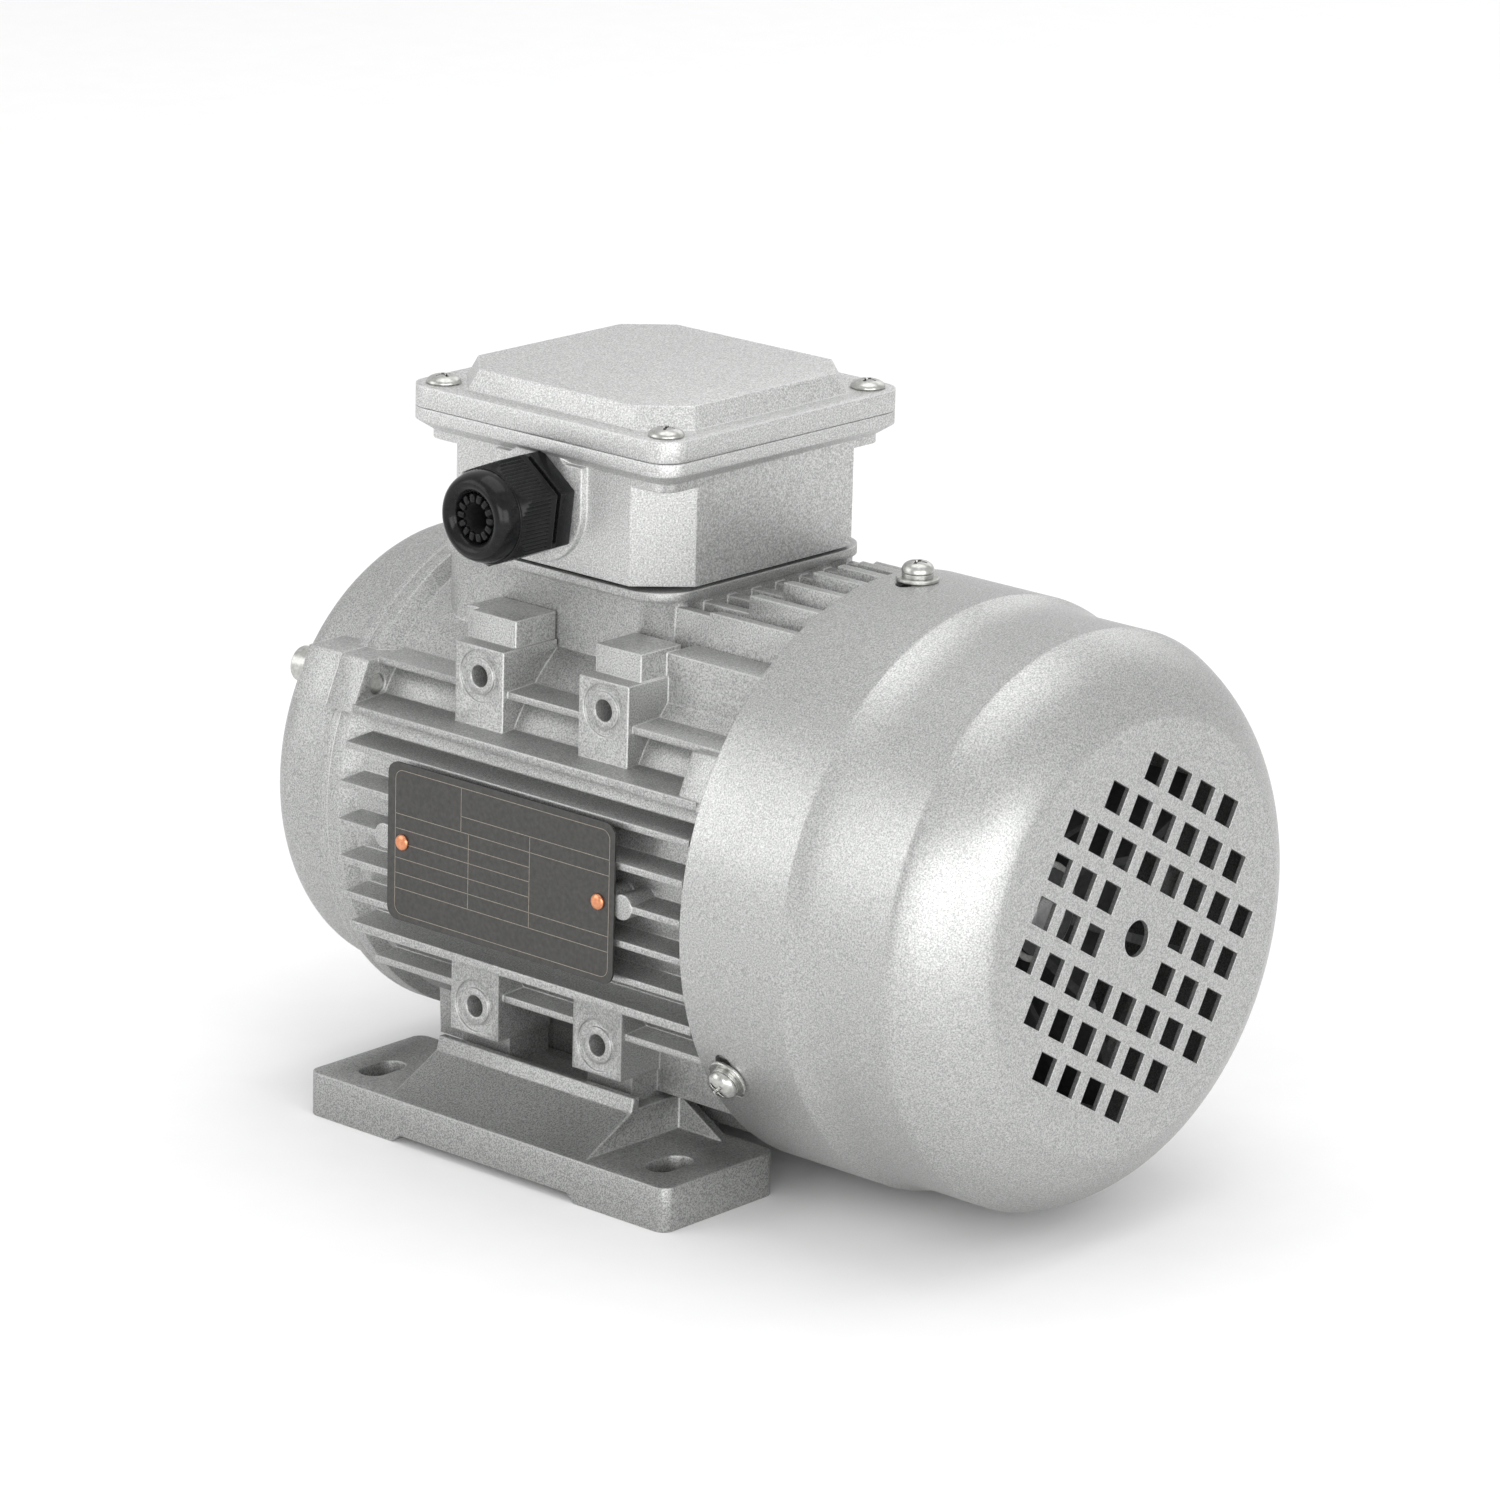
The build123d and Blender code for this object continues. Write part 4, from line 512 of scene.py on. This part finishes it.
left, bottom, end, top, corner = -0.0328, -0.0172, 0.0333, 0.0170, 0.0022
rules = []
for x, y, first in (
    (end - corner, top - corner, 0), (left + corner, top - corner, 90),
    (left + corner, bottom + corner, 180), (end - corner, bottom + corner, 270),
):
    arc = [math.radians(first + 90 * step / 6) for step in range(7)]
    dots = [(x + corner * math.cos(a), y + corner * math.sin(a)) for a in arc]
    rules += [rule(p, q) for p, q in zip(dots, dots[1:])]
name_x, value_x, side_x = -0.0122, -0.0098, 0.0091
rows = (0.0103, 0.0066, 0.0031, -0.0003, -0.0039, -0.0075, -0.0111)
for start, stop in (
    ((left + corner, top), (end - corner, top)), ((left + corner, bottom), (end - corner, bottom)),
    ((left, bottom + corner), (left, top - corner)), ((end, bottom + corner), (end, top - corner)),
    ((name_x, rows[0]), (end, rows[0])), ((left, rows[1]), (end, rows[1])),
    ((left, rows[2]), (side_x, rows[2])), ((left, rows[3]), (side_x, rows[3])),
    ((left, rows[4]), (side_x, rows[4])), ((left, rows[5]), (end, rows[5])),
    ((left, rows[6]), (end, rows[6])), ((name_x, rows[1]), (name_x, top)),
    ((value_x, rows[6]), (value_x, rows[1])), ((side_x, rows[6]), (side_x, rows[0])),
):
    rules.append(rule(start, stop))
dress(joined("nameplate_rules", rules), rule_skin, "stator", "plate_anodised")
copper = finish(
    "copper_rivet", (0.62, 0.24, 0.12), (0.80, 0.36, 0.20), (0.22, 0.34), 1.0, 1400, bump=0.15, soft=0.0003
)
cap_radius, cap_rim, cap_rise = 0.0019, 0.0002, 0.0008
cap = [(0, -0.004), (0.0012, -0.004), (0.0012, 0), (0.0018, 0), (cap_radius, cap_rim)]
for turn in (math.radians(a) for a in range(10, 90, 10)):
    cap.append((cap_radius * math.cos(turn) ** 0.8, cap_rim + cap_rise * math.sin(turn)))
rivet = turned("rivet", cap + [(0, 0.0010)], 36)
shade(40)
rivet_low, rivet_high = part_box("nameplate_rivets")
rivet_places = [
    (Vector((plate_high.x, y, axis_height)), Vector((1, 0, 0)), 0)
    for y in (rivet_low.y + cap_radius, rivet_high.y - cap_radius)
]
dress(set_out("domed_rivets", rivet, rivet_places), copper, "stator", "rivet_copper", "nameplate_rivets")

# The other fasteners and the fan's clamp: zinc-plated steel.
coat(
    zinc, "box_screws", "drive_screws", "fan_screws", "foot_screws", "board_screws", "clip_screw",
    "fan_clamp", "fan_clamp_screw", "earth_screw",
)

# The shaft and its key: ground steel.
ground = finish(
    "ground_steel", (0.38, 0.38, 0.38), (0.52, 0.52, 0.52), (0.22, 0.34), 1.0, 1000, bump=0.1, soft=0.0003
)
coat(ground, "shaft", "shaft_key")

# The two ball bearings and the wave spring that loads them: polished steel.
polished = finish("bearing_steel", (0.55, 0.55, 0.56), (0.66, 0.66, 0.67), (0.10, 0.20), 1.0, 600, bump=0.03)
coat(
    polished, "drive_bearing_outer_ring", "drive_bearing_inner_ring", "drive_bearing_balls",
    "fan_bearing_outer_ring", "fan_bearing_inner_ring", "fan_bearing_balls", "wave_spring",
)

# The cores are stacks of dull sheets, the rotor's cage is cast aluminium, and the winding is
# enamelled wire under varnish.
sheets = finish("core_sheets", (0.10, 0.10, 0.105), (0.17, 0.17, 0.17), (0.40, 0.60), 0.9, 1500, bump=0.4)
coat(sheets, "stator_core", "rotor_core")
coat(finish("cast_cage", (0.46, 0.46, 0.47), (0.62, 0.62, 0.63), (0.40, 0.55), 0.9, 900), "rotor_cage")
varnish = finish("varnished_wire", (0.22, 0.07, 0.02), (0.42, 0.17, 0.05), (0.20, 0.35), 0.3, 1400)
coat(varnish, "stator_winding")

# The cable gland: moulded black nylon. The nut has fine grip ribs on its six flats and a glossy
# rounded nose. Through its mouth show the claws that squeeze a rubber sleeve round the cable.
# The nut and the hexagon behind it are turned a little from upright.
nylon = finish(
    "black_nylon", (0.004, 0.004, 0.0045), (0.010, 0.010, 0.011), (0.12, 0.22), 0.0, 1100,
    bump=0.10, wear_and_highlight=0.15, Specular_IOR_Level=0.22,
)
coat(nylon, "gland_locknut", "capacitor_clip")
nut_low, nut_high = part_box("gland_nut")
gland_y, gland_z = (nut_low.y + nut_high.y) / 2, (nut_low.z + nut_high.z) / 2
flat_reach, nut_run, nut_turn = 0.0110, 0.0105, math.radians(23)
corner_reach = flat_reach / math.cos(math.radians(30))
bpy.ops.object.select_all(action="DESELECT")
bpy.ops.mesh.primitive_cylinder_add(
    vertices=6, radius=corner_reach, depth=nut_run, location=(0, 0, nut_run / 2)
)
nut = bpy.context.object
bpy.ops.object.transform_apply()
ribs_per_flat, rib_pitch, groove_width, groove_run = 12, 0.00094, 0.00048, nut_run - 0.0012
grooves = []
for flat in range(6):
    way = math.radians(60 * flat)
    for step in range(ribs_per_flat + 1):
        along = (step - ribs_per_flat / 2) * rib_pitch
        x = flat_reach * math.cos(way) - along * math.sin(way)
        y = flat_reach * math.sin(way) + along * math.cos(way)
        groove_size = (groove_width, groove_width, groove_run)
        grooves.append(block((x, y, nut_run / 2 + 0.0011), groove_size, (0, 0, way + math.pi / 4)))
cut(nut, joined("grooves", grooves))
nut_front, nose_radius, gland_steps = nut_run + 0.0004, 0.0106, 72
blank = [
    (0, -0.001), (0.0122, -0.001), (0.0131, 0.0008), (0.0131, nut_run - 0.0030),
    (0.0108, nut_front), (0, nut_front),
]
cut(nut, turned("nut_blank", blank, gland_steps), "INTERSECT")
mouth, lip, nose_run = 0.0056, 0.0080, nut_high.x - nut_low.x - nut_run
nose_tip = nut_run + nose_run
nose_curve = (
    (nose_radius, nut_front), (nose_radius, nut_run + nose_run * 0.8), (0.0089, nose_tip), (lip, nose_tip)
)
mouth_curve = ((lip, nose_tip), (0.0068, nose_tip), (mouth, nut_run + 0.0040), (mouth, nut_run + 0.0024))
nose = [(mouth, 0.001), (nose_radius, nut_run - 0.0015), (nose_radius, nut_front)]
nose += bezier(nose_curve, 10) + bezier(mouth_curve, 8) + [(mouth, 0.001)]
nose = turned("nut_nose", nose, gland_steps)
bpy.ops.mesh.primitive_cylinder_add(vertices=gland_steps, radius=0.0075, depth=0.03)
cut(nut, bpy.context.object)
nut = joined("ribbed_gland_nut", [nut, nose])
nut.rotation_euler = (Matrix.Rotation(math.pi / 2, 3, "Y") @ Matrix.Rotation(nut_turn, 3, "Z")).to_euler()
nut.location = (nut_low.x, gland_y, gland_z)
bpy.ops.object.transform_apply()
shade(32)
dress(nut, nylon, "stator", "black_nylon", "gland_nut")
hex_body = rounded_copy("gland_body", "gland_hex_body", 0.0003)
gland_axis = Vector((0, gland_y, gland_z))
hex_body.rotation_euler = (nut_turn, 0, 0)
hex_body.location = gland_axis - Matrix.Rotation(nut_turn, 3, "X") @ gland_axis
bpy.ops.object.transform_apply()
dress(hex_body, nylon, "stator", "black_nylon", "gland_body")
claw_count, claw_circle, claw_x, claw_size = 14, 0.0045, nut_high.x - 0.0034, (0.0040, 0.0021, 0.00150)
claws = []
for way in (2 * math.pi * step / claw_count for step in range(claw_count)):
    claw_spot = (claw_x, gland_y + claw_circle * math.cos(way), gland_z + claw_circle * math.sin(way))
    claws.append(block(claw_spot, claw_size, (way, 0, 0)))
claws = joined("gland_claws", claws)
round_tips = claws.modifiers.new("round_tips", "BEVEL")
round_tips.width = 0.0004
round_tips.segments = 2
bpy.ops.object.modifier_apply(modifier=round_tips.name)
shade(35)
dress(claws, nylon, "stator", "black_nylon")
rubber = finish(
    "black_rubber", (0.005, 0.005, 0.005), (0.012, 0.012, 0.012), (0.60, 0.80), 0.0, 1300,
    bump=0.25, wear_and_highlight=0.1, Specular_IOR_Level=0.2,
)
coat(rubber, "box_gasket", "lid_gasket", "shaft_seal")
sleeve_low, sleeve_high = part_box("gland_insert")
sleeve_run, sleeve_bore, sleeve_radius = sleeve_high.x - sleeve_low.x, 0.0029, 0.0054
sleeve = turned("gland_sleeve", [
    (sleeve_bore, 0), (sleeve_radius, 0), (sleeve_radius, sleeve_run - 0.004),
    (0.0044, sleeve_run - 0.0004), (0.0040, sleeve_run), (0.0036, sleeve_run),
    (sleeve_bore, sleeve_run - 0.0014), (sleeve_bore, 0),
], 48)
sleeve.rotation_euler = (0, math.pi / 2, 0)
sleeve.location = (sleeve_low.x, gland_y, gland_z)
bpy.ops.object.transform_apply()
shade(35)
dress(sleeve, rubber, "stator", "black_rubber", "gland_insert")

# The fan: moulded grey nylon, clamped on the shaft behind the grille.
grey_nylon = finish("fan_nylon", (0.060, 0.060, 0.062), (0.10, 0.10, 0.102), (0.35, 0.50), 0.0, 900, bump=0.2)
coat(grey_nylon, "fan")

# Inside the terminal box: the board with its brass terminals, and the run capacitor.
board_skin = finish("phenolic_board", (0.10, 0.03, 0.015), (0.17, 0.06, 0.03), (0.40, 0.55), 0.0, 700)
coat(board_skin, "terminal_board")
case_skin = finish("capacitor_case", (0.60, 0.60, 0.56), (0.72, 0.72, 0.68), (0.30, 0.42), 0.0, 500)
coat(case_skin, "capacitor")
brass = finish("terminal_brass", (0.62, 0.42, 0.14), (0.76, 0.56, 0.24), (0.22, 0.34), 1.0, 1100)
coat(brass, "terminal_studs", "terminal_nuts", "terminal_links")

# The floor: a plain pale sheet of card under the feet.
bpy.ops.object.select_all(action="DESELECT")
bpy.ops.mesh.primitive_plane_add(size=8, location=(0, 0, 0))
floor = bpy.context.object
floor.name = "floor"
card = finish("pale_card", (0.88, 0.88, 0.88), (0.93, 0.93, 0.93), (0.7, 0.8), 0.0, 60, contrast=0.6)
floor.data.materials.append(card)
